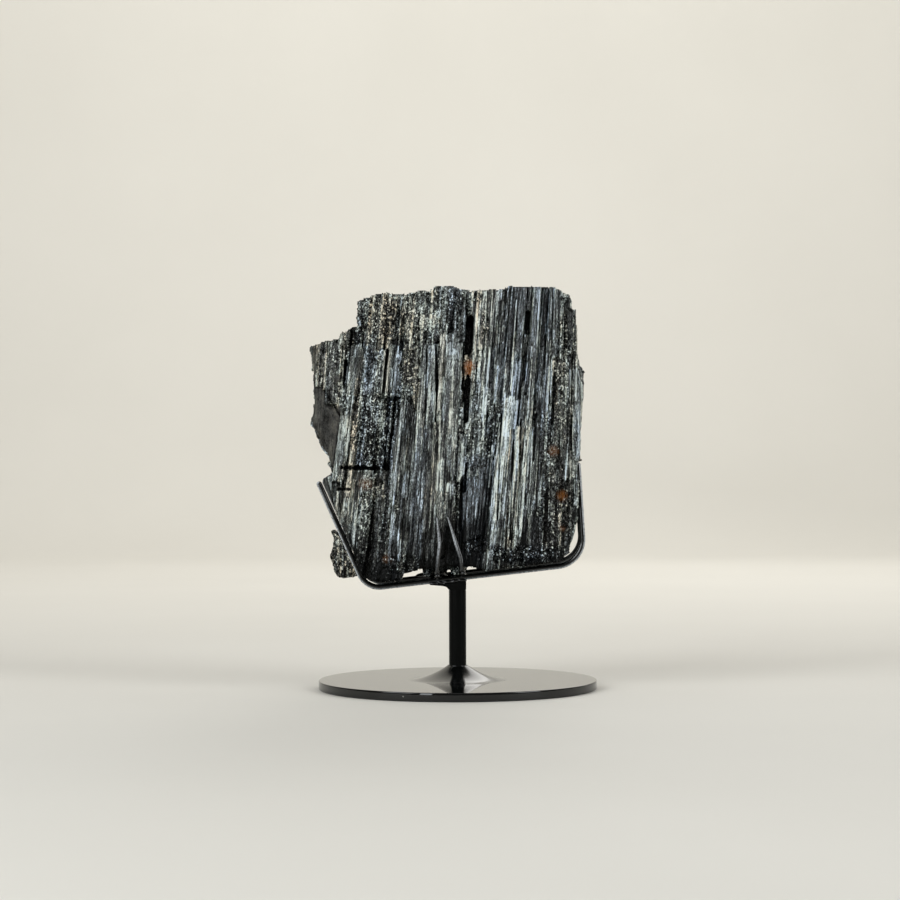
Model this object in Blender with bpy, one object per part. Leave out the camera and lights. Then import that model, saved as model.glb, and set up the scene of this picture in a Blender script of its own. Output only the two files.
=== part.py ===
"""Black tourmaline crystal mass resting in a lacquered steel rod cradle on a round base.

Units are metres: +X right, +Y back, +Z up. The origin is the centre of the base's underside.
The stone is the union of many straight, flat-faced crystals that grew together side by side.
"""

import math
import random

import bmesh
import bpy
from mathutils import Matrix, Vector

MM = 0.001

# Base and stem
BASE_RADIUS = 101.6 * MM
BASE_THICKNESS = 6.35 * MM
BASE_EDGE_ROUND = 0.5 * MM
FLARE_FOOT_RADIUS = 32.0 * MM
FLARE_TOP = 17.2 * MM
FLARE_WALL_AT_TOP = 1.1 * MM
STEM_RADIUS = 6.3 * MM
FIT_GAP = 0.3 * MM

# Cradle rods: a bar that slopes up to the right, with an arm bent up at each end
ROD_RADIUS = 2.0 * MM
BAR_HEIGHT_AT_CENTRE = 81.85 * MM
BAR_SLOPE = math.radians(6.5)
LEFT_ARM_CORNER_X = -65.8 * MM
LEFT_ARM_LEAN = math.radians(24.0)
LEFT_ARM_TOP = 149.7 * MM
LEFT_BEND_RADIUS = 15.3 * MM
RIGHT_ARM_CORNER_X = 91.2 * MM
RIGHT_ARM_LEAN = math.radians(3.5)
RIGHT_ARM_TOP = 163.0 * MM
RIGHT_BEND_RADIUS = 19.6 * MM
ROD_SPACING = 54.0 * MM
REAR_ROD_SHIFT = Vector((1.4, 0.0, 0.6)) * MM

# Head plate: a short bar from front to back on the stem's top, with a sloping shoulder on its left
HEAD_UNDERSIDE = 72.8 * MM
HEAD_SHOULDER = 75.0 * MM
HEAD_LEFT = -20.0 * MM
HEAD_RIGHT = 6.6 * MM
HEAD_HALF_LENGTH = 29.5 * MM
HEAD_EDGE = 0.8 * MM

# Prongs: thin rods that leave the head plate, run under the stone and stand against its face
PRONG_RADIUS = 1.6 * MM
# Corners of each prong, in mm: out from the head plate, over the cradle rod, then up the stone's face.
# y is measured forwards here, and the rear prongs turn it round
LEFT_PRONG = ((-7.5, 9, 80.9), (-11, 22, 84.4), (-15, 45.3, 84.4), (-12.4, 45.3, 107), (-14.6, 45.3, 126))
RIGHT_PRONG = ((4.5, 9, 82.4), (4.2, 22, 86.3), (3.6, 45.3, 86.3), (2.4, 45.3, 97), (-6.8, 45.3, 126))
PRONG_BENDS = (6, 4.5, 12)
PRONG_REACH = LEFT_PRONG[-1][1] * MM
PRONG_TOP = LEFT_PRONG[-1][2] * MM

# Room in the stone for the prongs: across both on its face, and a groove under it for each
PRONG_SWEEP = (-19.5 * MM, 8.5 * MM)
PRONG_GROOVES = {"left_groove": (-17.6 * MM, -5.3 * MM), "right_groove": (1.7 * MM, 7.2 * MM)}
PRONG_HEADROOM = 89.2 * MM
GROOVE_START = 6.5 * MM

# Finishes
LACQUER_COLOUR = (0.008, 0.008, 0.009)
LACQUER_ROUGHNESS = 0.08
LACQUER_COAT = 0.5
STONE_COLOUR = (0.035, 0.038, 0.038)
STONE_ROUGHNESS = 0.38

# Stone
BAR_CLEARANCE = ROD_RADIUS + FIT_GAP
SEED = 11

# Front crystals, in mm and degrees: centre x at half height, width, lowest z, highest z,
# lean to the right going up, how far the face stands proud, and how far it is turned to the right
FRONT_CRYSTALS = (
    # upper left block, broken and granular
    (-66.6, 10, 243, 280.5, -5, -3, -14),
    (-60, 11, 245, 284, 3, -1, -4),
    (-52.7, 14, 246, 286, 3, 0, 6),
    (-39.9, 15, 246, 286.5, 4, -1, -8),
    (-27, 14, 244, 288.5, 3, 1, 5),
    # steps down to the left shoulder
    (-81.5, 9, 238, 257.5, 0, -3, -20),
    (-74.5, 11, 238, 262.5, 0, -5, -12),
    (-100.5, 9, 214, 248.5, -7, -13, -50),
    (-95, 12, 218, 250.5, 3, -6, -26),
    (-87.5, 11, 214, 252.5, 3, -3, -12),
    # smooth facet turned away below the shoulder
    (-95.5, 22, 187, 219, 4, -10, -40),
    (-87, 18, 160, 196, -20, -8, -34),
    # beside the left arm
    (-87, 12, 128, 157, -20, -10, -30),
    (-83, 10, 112, 160, -14, -5, -18),
    # left strips and the block of three columns
    (-79, 8, 152, 249, 8, 2, -10),
    (-72, 8, 203, 248, 9, 1, 6),
    (-60.6, 18, 206, 250, 6, 0, -4),
    (-51.3, 6, 212, 246, 6, 3, -20),
    (-47, 5.5, 210, 249, 6, 6, 0),
    (-42.7, 5.5, 212, 249, 6, 5, 26),
    (-33.5, 13, 194, 250, 4, 0, 5),
    (-24, 7, 188, 250, 3, 3, -10),
    (-18.6, 6, 190, 250, 3, 4, 12),
    (-8.5, 10, 144, 258, 3, 4, -6),
    (-1.2, 7, 188, 252, 3, 2, 9),
    (-8.5, 24, 254, 291.5, 1, -1, 0),
    # right of the deep crack
    (12.3, 6, 242, 284, 2, -2, -10),
    (17.2, 7, 245, 286, 4, 3, -13),
    (22, 7, 190, 288, 5, 1, 6),
    (28, 8, 204, 288.5, 5, 2, 12),
    (33.5, 7, 208, 290, 4.5, -1, 0),
    (38.7, 7.5, 190, 291, 5, 4, 6),
    (43.5, 7, 208, 291, 5, 3, -12),
    (49.5, 8, 273, 290.5, 3, 1, 0),
    (53.6, 6, 186, 290, 4.5, 5, -20),
    (57.8, 6, 206, 289, 4, 1, 0),
    (63, 8, 186, 290, 3, 3, 10),
    (68.2, 7, 240, 289.5, 1, 4, -10),
    (72.4, 6, 240, 288, 1, 2, 26),
    (78, 9, 262, 285.5, 0, -4, 20),
    (79.5, 14, 226, 273.5, 0, -4, 16),
    (83.3, 13, 136, 230, -1, -4, 18),
    (72.9, 12, 176, 246, 2, 0, 6),
    # broken patch in the middle left
    (-68.5, 16, 160, 209, 6, -2, 0),
    (-54, 17, 160, 211, 6, -3, 6),
    # long strips below it
    (-44.9, 7, 87, 212, 6.5, 3, -15),
    (-39.5, 6, 93, 206, 5.5, 1, 12),
    (-34.6, 7, 91, 200, 5, 0, 0),
    (-28, 9, 91, 193, 4, 3, -6),
    (-18.4, 12, 90, 194, 4, 2, 6),
    (-8, 11, 123, 190, 3, 1, 0),
    (-4, 16, 90, 126, 2, -1, 0),
    (3, 5, 150, 186, 5, 4, 22),
    (6.4, 11, 92, 154, 5, 1, -6),
    (14.4, 11, 150, 197, 5, -1, 0),
    (18.7, 11, 98, 167, 5, 0, 5),
    (28, 8, 106, 213, 8, 5, -16),
    (33.6, 7, 91, 210, 6, 3, 6),
    (39.2, 7, 90.5, 192, 5.5, 4, -10),
    (45, 7, 91, 212, 5.5, 3, 12),
    (50.6, 7, 92, 190, 5, 2, -6),
    (56.2, 7, 92, 210, 4, 1, 6),
    (63, 9, 93, 190, 3, 0, 0),
    (70, 8, 94.5, 184, 3, 0, 9),
    (78, 11, 98, 182, 3, -3, 16),
    (20, 14, 89, 112, 2, -2, 0),
    (4, 12, 89, 100, 0, -4, 0),
    # lower left, beside the arm
    (-77, 8, 98, 150, 6, 0, -16),
    (-71.8, 8, 86, 163, 5, 1, 0),
    (-65, 10, 98, 163, 5, 2, 6),
    (-55.2, 12, 82, 163, 7, 1, -6),
    (-63.5, 17, 79.5, 104, 0, 0, -4),
    (-50, 13, 82, 100, 0, -3, 5),
)
FRONT_FACE_Y = -39.0
FRONT_BULGE = 6.0
FACE_HALF_WIDTH = 95.0
CRYSTAL_DEPTH = 17.0

# The core that the crystals grow round, in mm: height on its left side, height on its right side,
# then how far it reaches left, right, forwards and back
CORE_RINGS = (
    (80, 92, -70, 70, -30, 32),
    (96, 103, -78, 76, -35, 38),
    (122, 122, -91, 81, -37, 40),
    (150, 150, -97, 86, -37, 40),
    (162, 170, -88, 84, -36, 40),
    (190, 190, -97, 83, -36, 40),
    (222, 226, -98, 82, -36, 40.5),
    (246, 246, -95, 79, -34, 38),
    (251, 262, -70, 77, -34, 35),
    (275, 277, -62, 68, -30, 31),
    (281, 283, -52, 60, -24, 24),
)
CORE_SIDES = 16
CORE_SQUARENESS = 0.42

# Crystals round the sides and back: a stretch of the outline is filled with columns side by side.
# In mm: name of the run, start and end of the run (x, y), lowest z, highest z, lean, column width
BACK_RUNS = (
    ((84, 30), (30, 41), 98, 284, 3, 11),
    ((30, 41), (-30, 42), 94, 287, 4, 12),
    ((-30, 42), (-72, 38), 92, 283, 5, 11),
    ((-72, 38), (-94, 26), 158, 250, 3, 11),
    ((-96, 24), (-97, -20), 190, 249, 1, 12),
    ((-86, 26), (-87, -22), 156, 200, -14, 12),
    ((-68, 27), (-70, -24), 240, 279, 3, 12),
    ((80, -24), (82, 28), 132, 272, 1, 12),
    ((73, -22), (75, 26), 242, 284, 1, 12),
)
BACK_BREAK_SHARE = 0.55

# Column ends that stand up through the broken top, in mm: a jittered grid
TOP_COLUMNS_X = (-58, -42, -26, -10, 6, 22, 38, 54, 68)
TOP_COLUMNS_Y = (-20, -2, 16)
TOP_COLUMN_WIDTH = 19
TOP_COLUMN_HEIGHTS = (277, 287.5)
TOP_COLUMN_FOOT = 255

# The low lobe behind the left arm, in mm: x, y, width, depth, lowest z, highest z, lean
LOBE_CRYSTALS = (
    (-88, 38, 15, 15, 80, 108, -4),
    (-78, 37, 16, 15, 79, 113, 2),
    (-83, 42, 14, 10, 84, 104, 0),
    (-89, 37, 6, 7, 100, 115, -14),
    (-73, 33, 14, 10, 86, 134, -6),
)

# Where the stone's underside stands clear of the bar, in mm (x, z)
UNDERSIDE_GAPS = {
    "left_gap": ((-39.5, 70), (-39.5, 86.4), (-25, 90.4), (-25, 70)),
    "right_gap": ((6.9, 70), (6.9, 91.6), (18, 89.4), (18, 70)),
}

# The slanted break that the left arm lies along, in mm: the stone's front corner, top to bottom
LEFT_BREAK = ((-95, 154), (-86.7, 138), (-80.2, 124), (-75.6, 110), (-74.3, 97), (-71, 87), (-66.5, 79.5))


def clear_scene():
    for thing in list(bpy.data.objects):
        bpy.data.objects.remove(thing, do_unlink=True)


def finish_material(name, colour, roughness, coat=0.0):
    material = bpy.data.materials.new(name)
    material.use_nodes = True
    shader = material.node_tree.nodes["Principled BSDF"]
    shader.inputs["Base Color"].default_value = (*colour, 1.0)
    shader.inputs["Roughness"].default_value = roughness
    shader.inputs["Metallic"].default_value = 0.0
    shader.inputs["Coat Weight"].default_value = coat
    return material


def lacquer(piece):
    return finish_material(f"{piece}_lacquer", LACQUER_COLOUR, LACQUER_ROUGHNESS, LACQUER_COAT)


def object_from_bmesh(name, mesh_data, material=None, smooth_angle=None):
    bmesh.ops.recalc_face_normals(mesh_data, faces=mesh_data.faces)
    mesh = bpy.data.meshes.new(name)
    mesh_data.to_mesh(mesh)
    mesh_data.free()
    if smooth_angle is not None:
        mesh.shade_smooth()
        mesh.set_sharp_from_angle(angle=smooth_angle)
    thing = bpy.data.objects.new(name, mesh)
    bpy.context.scene.collection.objects.link(thing)
    if material is not None:
        mesh.materials.append(material)
    return thing


def turned(name, profile, material, segments=64):
    """A solid of revolution about Z from a closed (radius, z) profile."""
    made = bmesh.new()
    rings = []
    for step in range(segments):
        angle = 2 * math.pi * step / segments
        rings.append(
            [
                made.verts.new((r * math.cos(angle), r * math.sin(angle), z)) if r > 0 else None
                for r, z in profile
            ]
        )
    poles = {i: made.verts.new((0, 0, z)) for i, (r, z) in enumerate(profile) if r == 0}
    count = len(profile)
    for step in range(segments):
        here, there = rings[step], rings[(step + 1) % segments]
        for i in range(count):
            j = (i + 1) % count
            corners = [
                here[i] or poles[i],
                there[i] or poles[i],
                there[j] or poles[j],
                here[j] or poles[j],
            ]
            distinct = list(dict.fromkeys(corners))
            if len(distinct) > 2:
                made.faces.new(distinct)
    return object_from_bmesh(name, made, material, math.radians(35))


def swept_rod(name, path, radius, material, sides=10):
    """A round rod along a list of points, with rounded ends."""
    made = bmesh.new()
    points = [Vector(p) for p in path]
    tangents = []
    for i in range(len(points)):
        before = points[max(i - 1, 0)]
        after = points[min(i + 1, len(points) - 1)]
        tangents.append((after - before).normalized())
    normal = tangents[0].orthogonal().normalized()
    stations = []
    for i, (point, tangent) in enumerate(zip(points, tangents)):
        normal = (normal - tangent * normal.dot(tangent)).normalized()
        stations.append((point, tangent, normal, radius))
    round_steps = (60, 25)
    first, last = stations[0], stations[-1]
    head = [
        (
            first[0] - first[1] * radius * math.sin(math.radians(a)),
            first[1],
            first[2],
            radius * math.cos(math.radians(a)),
        )
        for a in round_steps
    ]
    tail = [
        (
            last[0] + last[1] * radius * math.sin(math.radians(a)),
            last[1],
            last[2],
            radius * math.cos(math.radians(a)),
        )
        for a in reversed(round_steps)
    ]
    rings = []
    for centre, tangent, normal, ring_radius in head + stations + tail:
        side = tangent.cross(normal)
        rings.append(
            [
                made.verts.new(
                    centre
                    + normal * ring_radius * math.cos(2 * math.pi * k / sides)
                    + side * ring_radius * math.sin(2 * math.pi * k / sides)
                )
                for k in range(sides)
            ]
        )
    for low, high in zip(rings, rings[1:]):
        for k in range(sides):
            made.faces.new((low[k], low[(k + 1) % sides], high[(k + 1) % sides], high[k]))
    for ring, centre, tangent, sign in (
        (rings[0], first[0], first[1], -1),
        (rings[-1], last[0], last[1], 1),
    ):
        tip = made.verts.new(centre + tangent * radius * sign)
        for k in range(sides):
            made.faces.new((ring[k], ring[(k + 1) % sides], tip))
    return object_from_bmesh(name, made, material, math.radians(50))


def rounded_path(corners, radii, steps=7):
    """Straight runs between corners, with each inner corner turned into an arc of its own radius."""
    corners = [Vector(c) for c in corners]
    path = [corners[0]]
    for before, corner, after, radius in zip(corners, corners[1:], corners[2:], radii):
        to_before = (before - corner).normalized()
        to_after = (after - corner).normalized()
        half = to_before.angle(to_after) / 2
        tangent = radius / math.tan(half)
        bisector = (to_before + to_after).normalized()
        centre = corner + bisector * radius / math.sin(half)
        start = corner + to_before * tangent - centre
        end = corner + to_after * tangent - centre
        turn = start.angle(end)
        axis = start.cross(end).normalized()
        for step in range(steps + 1):
            path.append(centre + Matrix.Rotation(turn * step / steps, 3, axis) @ start)
    path.append(corners[-1])
    return path


def bar_height(x):
    """Height of the cradle bar's centre line above a point x."""
    return BAR_HEIGHT_AT_CENTRE + math.tan(BAR_SLOPE) * x


def cradle_path(offset=0.0):
    """The cradle rod's centre line in the XZ plane, or a line moved inwards from it by offset."""
    left_x = LEFT_ARM_CORNER_X
    right_x = RIGHT_ARM_CORNER_X
    lift = offset / math.cos(BAR_SLOPE)
    left_in = offset / math.cos(LEFT_ARM_LEAN)
    right_in = offset / math.cos(RIGHT_ARM_LEAN)

    def on_bar_and_left_arm():
        # the arm leans outwards going up: x falls as z rises
        lean = math.tan(LEFT_ARM_LEAN)
        slope = math.tan(BAR_SLOPE)
        base = BAR_HEIGHT_AT_CENTRE + lift
        corner_z = bar_height(left_x)
        x = (left_x + left_in + lean * (corner_z - base)) / (1 + lean * slope)
        return Vector((x, 0, base + slope * x))

    def on_bar_and_right_arm():
        lean = math.tan(RIGHT_ARM_LEAN)
        slope = math.tan(BAR_SLOPE)
        base = BAR_HEIGHT_AT_CENTRE + lift
        corner_z = bar_height(right_x)
        x = (right_x - right_in + lean * (corner_z - base)) / (1 + lean * slope)
        return Vector((x, 0, base + slope * x))

    left = on_bar_and_left_arm()
    right = on_bar_and_right_arm()
    left_top = left + Vector((-math.tan(LEFT_ARM_LEAN), 0, 1)) * (LEFT_ARM_TOP - left.z)
    right_top = right + Vector((-math.tan(RIGHT_ARM_LEAN), 0, 1)) * (RIGHT_ARM_TOP - right.z)
    radii = (LEFT_BEND_RADIUS - offset, RIGHT_BEND_RADIUS - offset)
    return rounded_path((left_top, left, right, right_top), radii)


def crystal(made, foot, top, width, depth, turn, rng, sides=6):
    """One prism from foot to top, flattened, with slightly uneven corners and slanted broken ends."""
    profile = []
    for k in range(sides):
        angle = 2 * math.pi * (k + 0.5) / sides + rng.uniform(-0.16, 0.16)
        reach = rng.uniform(0.9, 1.05)
        profile.append(
            Vector((0.56 * width * reach * math.cos(angle), 0.56 * depth * reach * math.sin(angle), 0))
        )
    spin = Matrix.Rotation(turn, 3, "Z")
    rings = []
    for end, way in ((foot, -1), (top, 1)):
        tilt_x = rng.uniform(-0.22, 0.22)
        tilt_y = rng.uniform(-0.05, 0.25) * way
        ring = []
        for corner in profile:
            at = spin @ corner
            at.z = tilt_x * at.x + tilt_y * at.y
            ring.append(made.verts.new(end + at))
        rings.append(ring)
    low, high = rings
    for k in range(sides):
        made.faces.new((low[k], low[(k + 1) % sides], high[(k + 1) % sides], high[k]))
    made.faces.new(low)
    made.faces.new(high)


def front_y(x):
    """Depth of the stone's front plane at x, both in mm: nearest in the middle."""
    return FRONT_FACE_Y + FRONT_BULGE * (x / FACE_HALF_WIDTH) ** 2


def stone_core():
    made = bmesh.new()
    rng = random.Random(SEED)
    rings = []
    for left_z, right_z, left, right, front, back in CORE_RINGS:
        ring = []
        for k in range(CORE_SIDES):
            angle = 2 * math.pi * (k + 0.5) / CORE_SIDES
            c, s = math.cos(angle), math.sin(angle)
            # a squarish outline: both sines raised towards their signs
            u = math.copysign(abs(c) ** CORE_SQUARENESS, c)
            v = math.copysign(abs(s) ** CORE_SQUARENESS, s)
            x = (left + right) / 2 + u * (right - left) / 2 + rng.uniform(-1.2, 1.2)
            y = (front + back) / 2 + v * (back - front) / 2 + rng.uniform(-1.2, 1.2)
            across = (x - left) / (right - left)
            z = left_z + (right_z - left_z) * across + rng.uniform(-0.6, 0.6)
            ring.append(made.verts.new(Vector((x, y, z)) * MM))
        rings.append(ring)
    for low, high in zip(rings, rings[1:]):
        for k in range(CORE_SIDES):
            made.faces.new((low[k], low[(k + 1) % CORE_SIDES], high[(k + 1) % CORE_SIDES], high[k]))
    made.faces.new(rings[0])
    made.faces.new(rings[-1])
    finish = finish_material("black_tourmaline", STONE_COLOUR, STONE_ROUGHNESS)
    return object_from_bmesh("tourmaline", made, finish)


def leaning_ends(x, y, low, high, lean):
    """Foot and top of a crystal whose middle is above x, y, all in mm."""
    shift = math.tan(math.radians(lean)) * (high - low) / 2
    return Vector((x - shift, y, low)) * MM, Vector((x + shift, y, high)) * MM


def stone_crystals():
    made = bmesh.new()
    rng = random.Random(SEED + 1)
    for x, width, low, high, lean, proud, turn in FRONT_CRYSTALS:
        y = front_y(x) - proud + CRYSTAL_DEPTH / 2
        foot, top = leaning_ends(x, y, low, high, lean)
        crystal(made, foot, top, width * MM, CRYSTAL_DEPTH * MM, math.radians(turn), rng)
    for start, end, low, high, lean, width in BACK_RUNS:
        run = Vector((*end, 0)) - Vector((*start, 0))
        outward = Vector((run.y, -run.x, 0)).normalized()
        facing = math.atan2(run.y, run.x)
        columns = max(round(run.length / width), 1)
        for i in range(columns):
            at = Vector((*start, 0)) + run * (i + 0.5) / columns
            pieces = [(low, high)]
            if rng.random() < BACK_BREAK_SHARE:
                split = rng.uniform(low + 0.3 * (high - low), high - 0.25 * (high - low))
                pieces = [(low, split + 2), (split - 2, high)]
            for piece_low, piece_high in pieces:
                out = at + outward * rng.uniform(-6.5, -3.5)
                piece_high -= rng.uniform(0, 5)
                piece_low += rng.uniform(0, 5)
                foot, top = leaning_ends(out.x, out.y, piece_low, piece_high, lean)
                turn = facing + rng.uniform(-0.25, 0.25)
                size = width * rng.uniform(1.05, 1.35)
                crystal(made, foot, top, size * MM, 0.9 * CRYSTAL_DEPTH * MM, turn, rng)
    for x in TOP_COLUMNS_X:
        for y in TOP_COLUMNS_Y:
            at_x, at_y = x + rng.uniform(-3, 3), y + rng.uniform(-3, 3)
            foot, top = leaning_ends(at_x, at_y, TOP_COLUMN_FOOT, rng.uniform(*TOP_COLUMN_HEIGHTS), 4)
            size = TOP_COLUMN_WIDTH * rng.uniform(0.85, 1.2) * MM
            crystal(made, foot, top, size, size, rng.uniform(-0.5, 0.5), rng)
    for x, y, width, depth, low, high, lean in LOBE_CRYSTALS:
        foot, top = leaning_ends(x, y, low, high, lean)
        crystal(made, foot, top, width * MM, depth * MM, rng.uniform(-0.4, 0.4), rng, sides=7)
    return helper(object_from_bmesh("crystals", made))


def helper(thing):
    thing.hide_render = True
    thing.display_type = "WIRE"
    return thing


def extruded(name, outline, along, start, end):
    """A prism from a closed outline. along is "Y" for an outline in XZ, and "X" for one in YZ."""
    made = bmesh.new()
    rings = []
    for reach in (start, end):
        if along == "Y":
            rings.append([made.verts.new((a, reach, b)) for a, b in outline])
        else:
            rings.append([made.verts.new((reach, a, b)) for a, b in outline])
    low, high = rings
    count = len(outline)
    for k in range(count):
        made.faces.new((low[k], low[(k + 1) % count], high[(k + 1) % count], high[k]))
    made.faces.new(low)
    made.faces.new(high)
    return object_from_bmesh(name, made)


def cradle_clearance(name, shift, start_y, end_y):
    """Everything outside the cradle rod's inner side, which the stone must keep out of."""
    inner = [p + shift for p in cradle_path(offset=BAR_CLEARANCE)]
    outline = [(p.x, p.z) for p in inner]
    far, below = 160 * MM, 40 * MM
    left_top = LEFT_ARM_TOP + BAR_CLEARANCE + shift.z
    right_top = RIGHT_ARM_TOP + BAR_CLEARANCE + shift.z
    outline[0] = (outline[0][0], left_top)
    outline[-1] = (outline[-1][0], right_top)
    outline += [(far, right_top), (far, below), (-far, below), (-far, left_top)]
    return helper(extruded(name, outline, "Y", start_y, end_y))


def left_break():
    outline = [(x * MM, z * MM) for x, z in LEFT_BREAK]
    outline += [(-70 * MM, 60 * MM), (-160 * MM, 60 * MM), (-160 * MM, LEFT_BREAK[0][1] * MM)]
    nearest = ROD_SPACING / 2 + ROD_RADIUS
    return helper(extruded("left_break", outline, "Y", -80 * MM, -nearest))


def prong_face_clearance():
    """Room for the upright stretch of the prongs, in front of the stone and behind it."""
    face = PRONG_REACH - PRONG_RADIUS - FIT_GAP
    top, far, below = PRONG_TOP + 2.5 * MM, 80 * MM, 60 * MM
    for name, way in (("front_prong_room", -1), ("rear_prong_room", 1)):
        outline = [(way * far, below), (way * far, top), (way * face, top), (way * face, below)]
        yield helper(extruded(name, outline, "X", *PRONG_SWEEP))


def prong_run_clearance():
    """Grooves in the stone's underside over the prongs, front and back."""
    far, below = 80 * MM, 60 * MM
    for name, (left, right) in PRONG_GROOVES.items():
        for end, way in (("front", -1), ("rear", 1)):
            outer, inner = way * far, way * GROOVE_START
            outline = [(outer, below), (outer, PRONG_HEADROOM), (inner, PRONG_HEADROOM), (inner, below)]
            yield helper(extruded(f"{end}_{name}", outline, "X", left, right))


def underside_gaps():
    """Hollows under the stone where it stands clear of the bar."""
    for name, corners in UNDERSIDE_GAPS.items():
        outline = [(x * MM, z * MM) for x, z in corners]
        yield helper(extruded(name, outline, "Y", -80 * MM, 80 * MM))


def join_with(thing, other):
    """Unions a mesh of many overlapping crystals with the thing, and with each other."""
    modifier = thing.modifiers.new(other.name, "BOOLEAN")
    modifier.operation = "UNION"
    modifier.object = other
    modifier.solver = "EXACT"
    modifier.use_self = True


def cut_away(thing, other):
    """The exact solver fails on a union with this many near-touching faces, so cuts use the other."""
    modifier = thing.modifiers.new(other.name, "BOOLEAN")
    modifier.operation = "DIFFERENCE"
    modifier.object = other
    modifier.solver = "MANIFOLD"


def build_stone():
    stone = stone_core()
    join_with(stone, stone_crystals())
    half = ROD_SPACING / 2 + ROD_RADIUS + FIT_GAP
    cut_away(stone, cradle_clearance("front_clearance", Vector((0, 0, 0)), -half, 0.01 * MM))
    cut_away(stone, cradle_clearance("rear_clearance", REAR_ROD_SHIFT, 0, half))
    cut_away(stone, left_break())
    for cutter in (*prong_face_clearance(), *prong_run_clearance(), *underside_gaps()):
        cut_away(stone, cutter)


def build_base():
    bevel = BASE_EDGE_ROUND
    turned(
        "base_disc",
        [
            (0, 0),
            (BASE_RADIUS - bevel, 0),
            (BASE_RADIUS, bevel),
            (BASE_RADIUS, BASE_THICKNESS - bevel),
            (BASE_RADIUS - bevel, BASE_THICKNESS),
            (0, BASE_THICKNESS),
        ],
        lacquer("base_disc"),
        segments=80,
    )
    bore = STEM_RADIUS + FIT_GAP
    foot = BASE_THICKNESS + FIT_GAP
    rise = FLARE_TOP - foot - 0.6 * MM
    spread = FLARE_FOOT_RADIUS - bore - FLARE_WALL_AT_TOP
    steps = 6
    profile = [(bore, foot), (FLARE_FOOT_RADIUS, foot), (FLARE_FOOT_RADIUS, foot + 0.6 * MM)]
    for i in range(1, steps + 1):
        # quarter of an ellipse, hollow towards the outside
        angle = math.pi / 2 * i / steps
        radius = FLARE_FOOT_RADIUS - spread * math.sin(angle)
        profile.append((radius, foot + 0.6 * MM + rise * (1 - math.cos(angle))))
    profile.append((bore, FLARE_TOP))
    turned("flare_collar", profile, lacquer("flare_collar"), segments=36)


def build_stem():
    head = HEAD_UNDERSIDE - FIT_GAP
    foot = BASE_THICKNESS + FIT_GAP
    profile = [(0, foot), (STEM_RADIUS, foot), (STEM_RADIUS, head), (0, head)]
    turned("stem", profile, lacquer("stem"), segments=32)


def build_head_plate():
    top_drop = (ROD_RADIUS + FIT_GAP) / math.cos(BAR_SLOPE)
    outline = [
        (HEAD_LEFT, bar_height(HEAD_LEFT) - top_drop),
        (HEAD_LEFT, bar_height(HEAD_LEFT) - top_drop - HEAD_EDGE),
        ((HEAD_LEFT - HEAD_RIGHT) / 2, HEAD_SHOULDER),
        (-HEAD_RIGHT, HEAD_UNDERSIDE),
        (HEAD_RIGHT, HEAD_UNDERSIDE),
        (HEAD_RIGHT, bar_height(HEAD_RIGHT) - top_drop),
    ]
    plate = extruded("head_plate", outline, "Y", -HEAD_HALF_LENGTH, HEAD_HALF_LENGTH)
    plate.data.materials.append(lacquer("head_plate"))


def build_cradle():
    path = cradle_path()
    front = Vector((0, -ROD_SPACING / 2, 0))
    rear = Vector((0, ROD_SPACING / 2, 0)) + REAR_ROD_SHIFT
    for name, place in (("front_cradle_rod", front), ("rear_cradle_rod", rear)):
        swept_rod(name, [p + place for p in path], ROD_RADIUS, lacquer(name))


def build_prongs():
    for side, corners in (("left", LEFT_PRONG), ("right", RIGHT_PRONG)):
        path = rounded_path([Vector(c) * MM for c in corners], [b * MM for b in PRONG_BENDS], steps=3)
        for end, way in (("front", -1), ("rear", 1)):
            lift = REAR_ROD_SHIFT.z if way > 0 else 0
            placed = [(p.x, way * p.y, p.z + lift) for p in path]
            name = f"{end}_{side}_prong"
            swept_rod(name, placed, PRONG_RADIUS, lacquer(name), sides=8)


clear_scene()
build_base()
build_stem()
build_head_plate()
build_cradle()
build_prongs()
build_stone()
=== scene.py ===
"""Black tourmaline crystal mass on a lacquered rod stand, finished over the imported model."""

import math

import bmesh
import bpy
import numpy as np
from mathutils import Matrix, Vector


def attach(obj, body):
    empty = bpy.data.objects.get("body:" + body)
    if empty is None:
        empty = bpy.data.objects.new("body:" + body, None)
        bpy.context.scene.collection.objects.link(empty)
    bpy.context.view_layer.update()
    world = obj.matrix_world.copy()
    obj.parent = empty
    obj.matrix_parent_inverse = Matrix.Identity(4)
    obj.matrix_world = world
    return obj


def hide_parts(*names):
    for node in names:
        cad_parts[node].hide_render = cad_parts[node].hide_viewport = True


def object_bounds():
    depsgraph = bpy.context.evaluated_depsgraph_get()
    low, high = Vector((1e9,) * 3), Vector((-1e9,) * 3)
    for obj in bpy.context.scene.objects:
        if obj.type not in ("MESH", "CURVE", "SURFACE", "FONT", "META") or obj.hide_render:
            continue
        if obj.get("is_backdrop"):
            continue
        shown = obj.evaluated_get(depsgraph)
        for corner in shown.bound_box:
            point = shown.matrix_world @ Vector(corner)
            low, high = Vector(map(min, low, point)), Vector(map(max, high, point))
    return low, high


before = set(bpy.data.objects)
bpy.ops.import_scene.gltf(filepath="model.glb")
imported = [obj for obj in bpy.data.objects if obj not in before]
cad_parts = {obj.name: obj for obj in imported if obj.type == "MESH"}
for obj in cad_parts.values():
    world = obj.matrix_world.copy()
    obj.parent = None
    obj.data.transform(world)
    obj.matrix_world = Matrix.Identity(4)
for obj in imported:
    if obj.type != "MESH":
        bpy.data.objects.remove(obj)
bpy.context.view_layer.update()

# ------------------------------------------------------------ front of the stone
# Tourmaline grows as long prisms side by side, whose faces carry fine lengthwise ridges. The display
# side is such a sheet, leaning a little to the right, split along the grain and broken across it.
# All sizes of the stone are in mm. A face of it is a fine net of points, drawn out along its normal.

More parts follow.
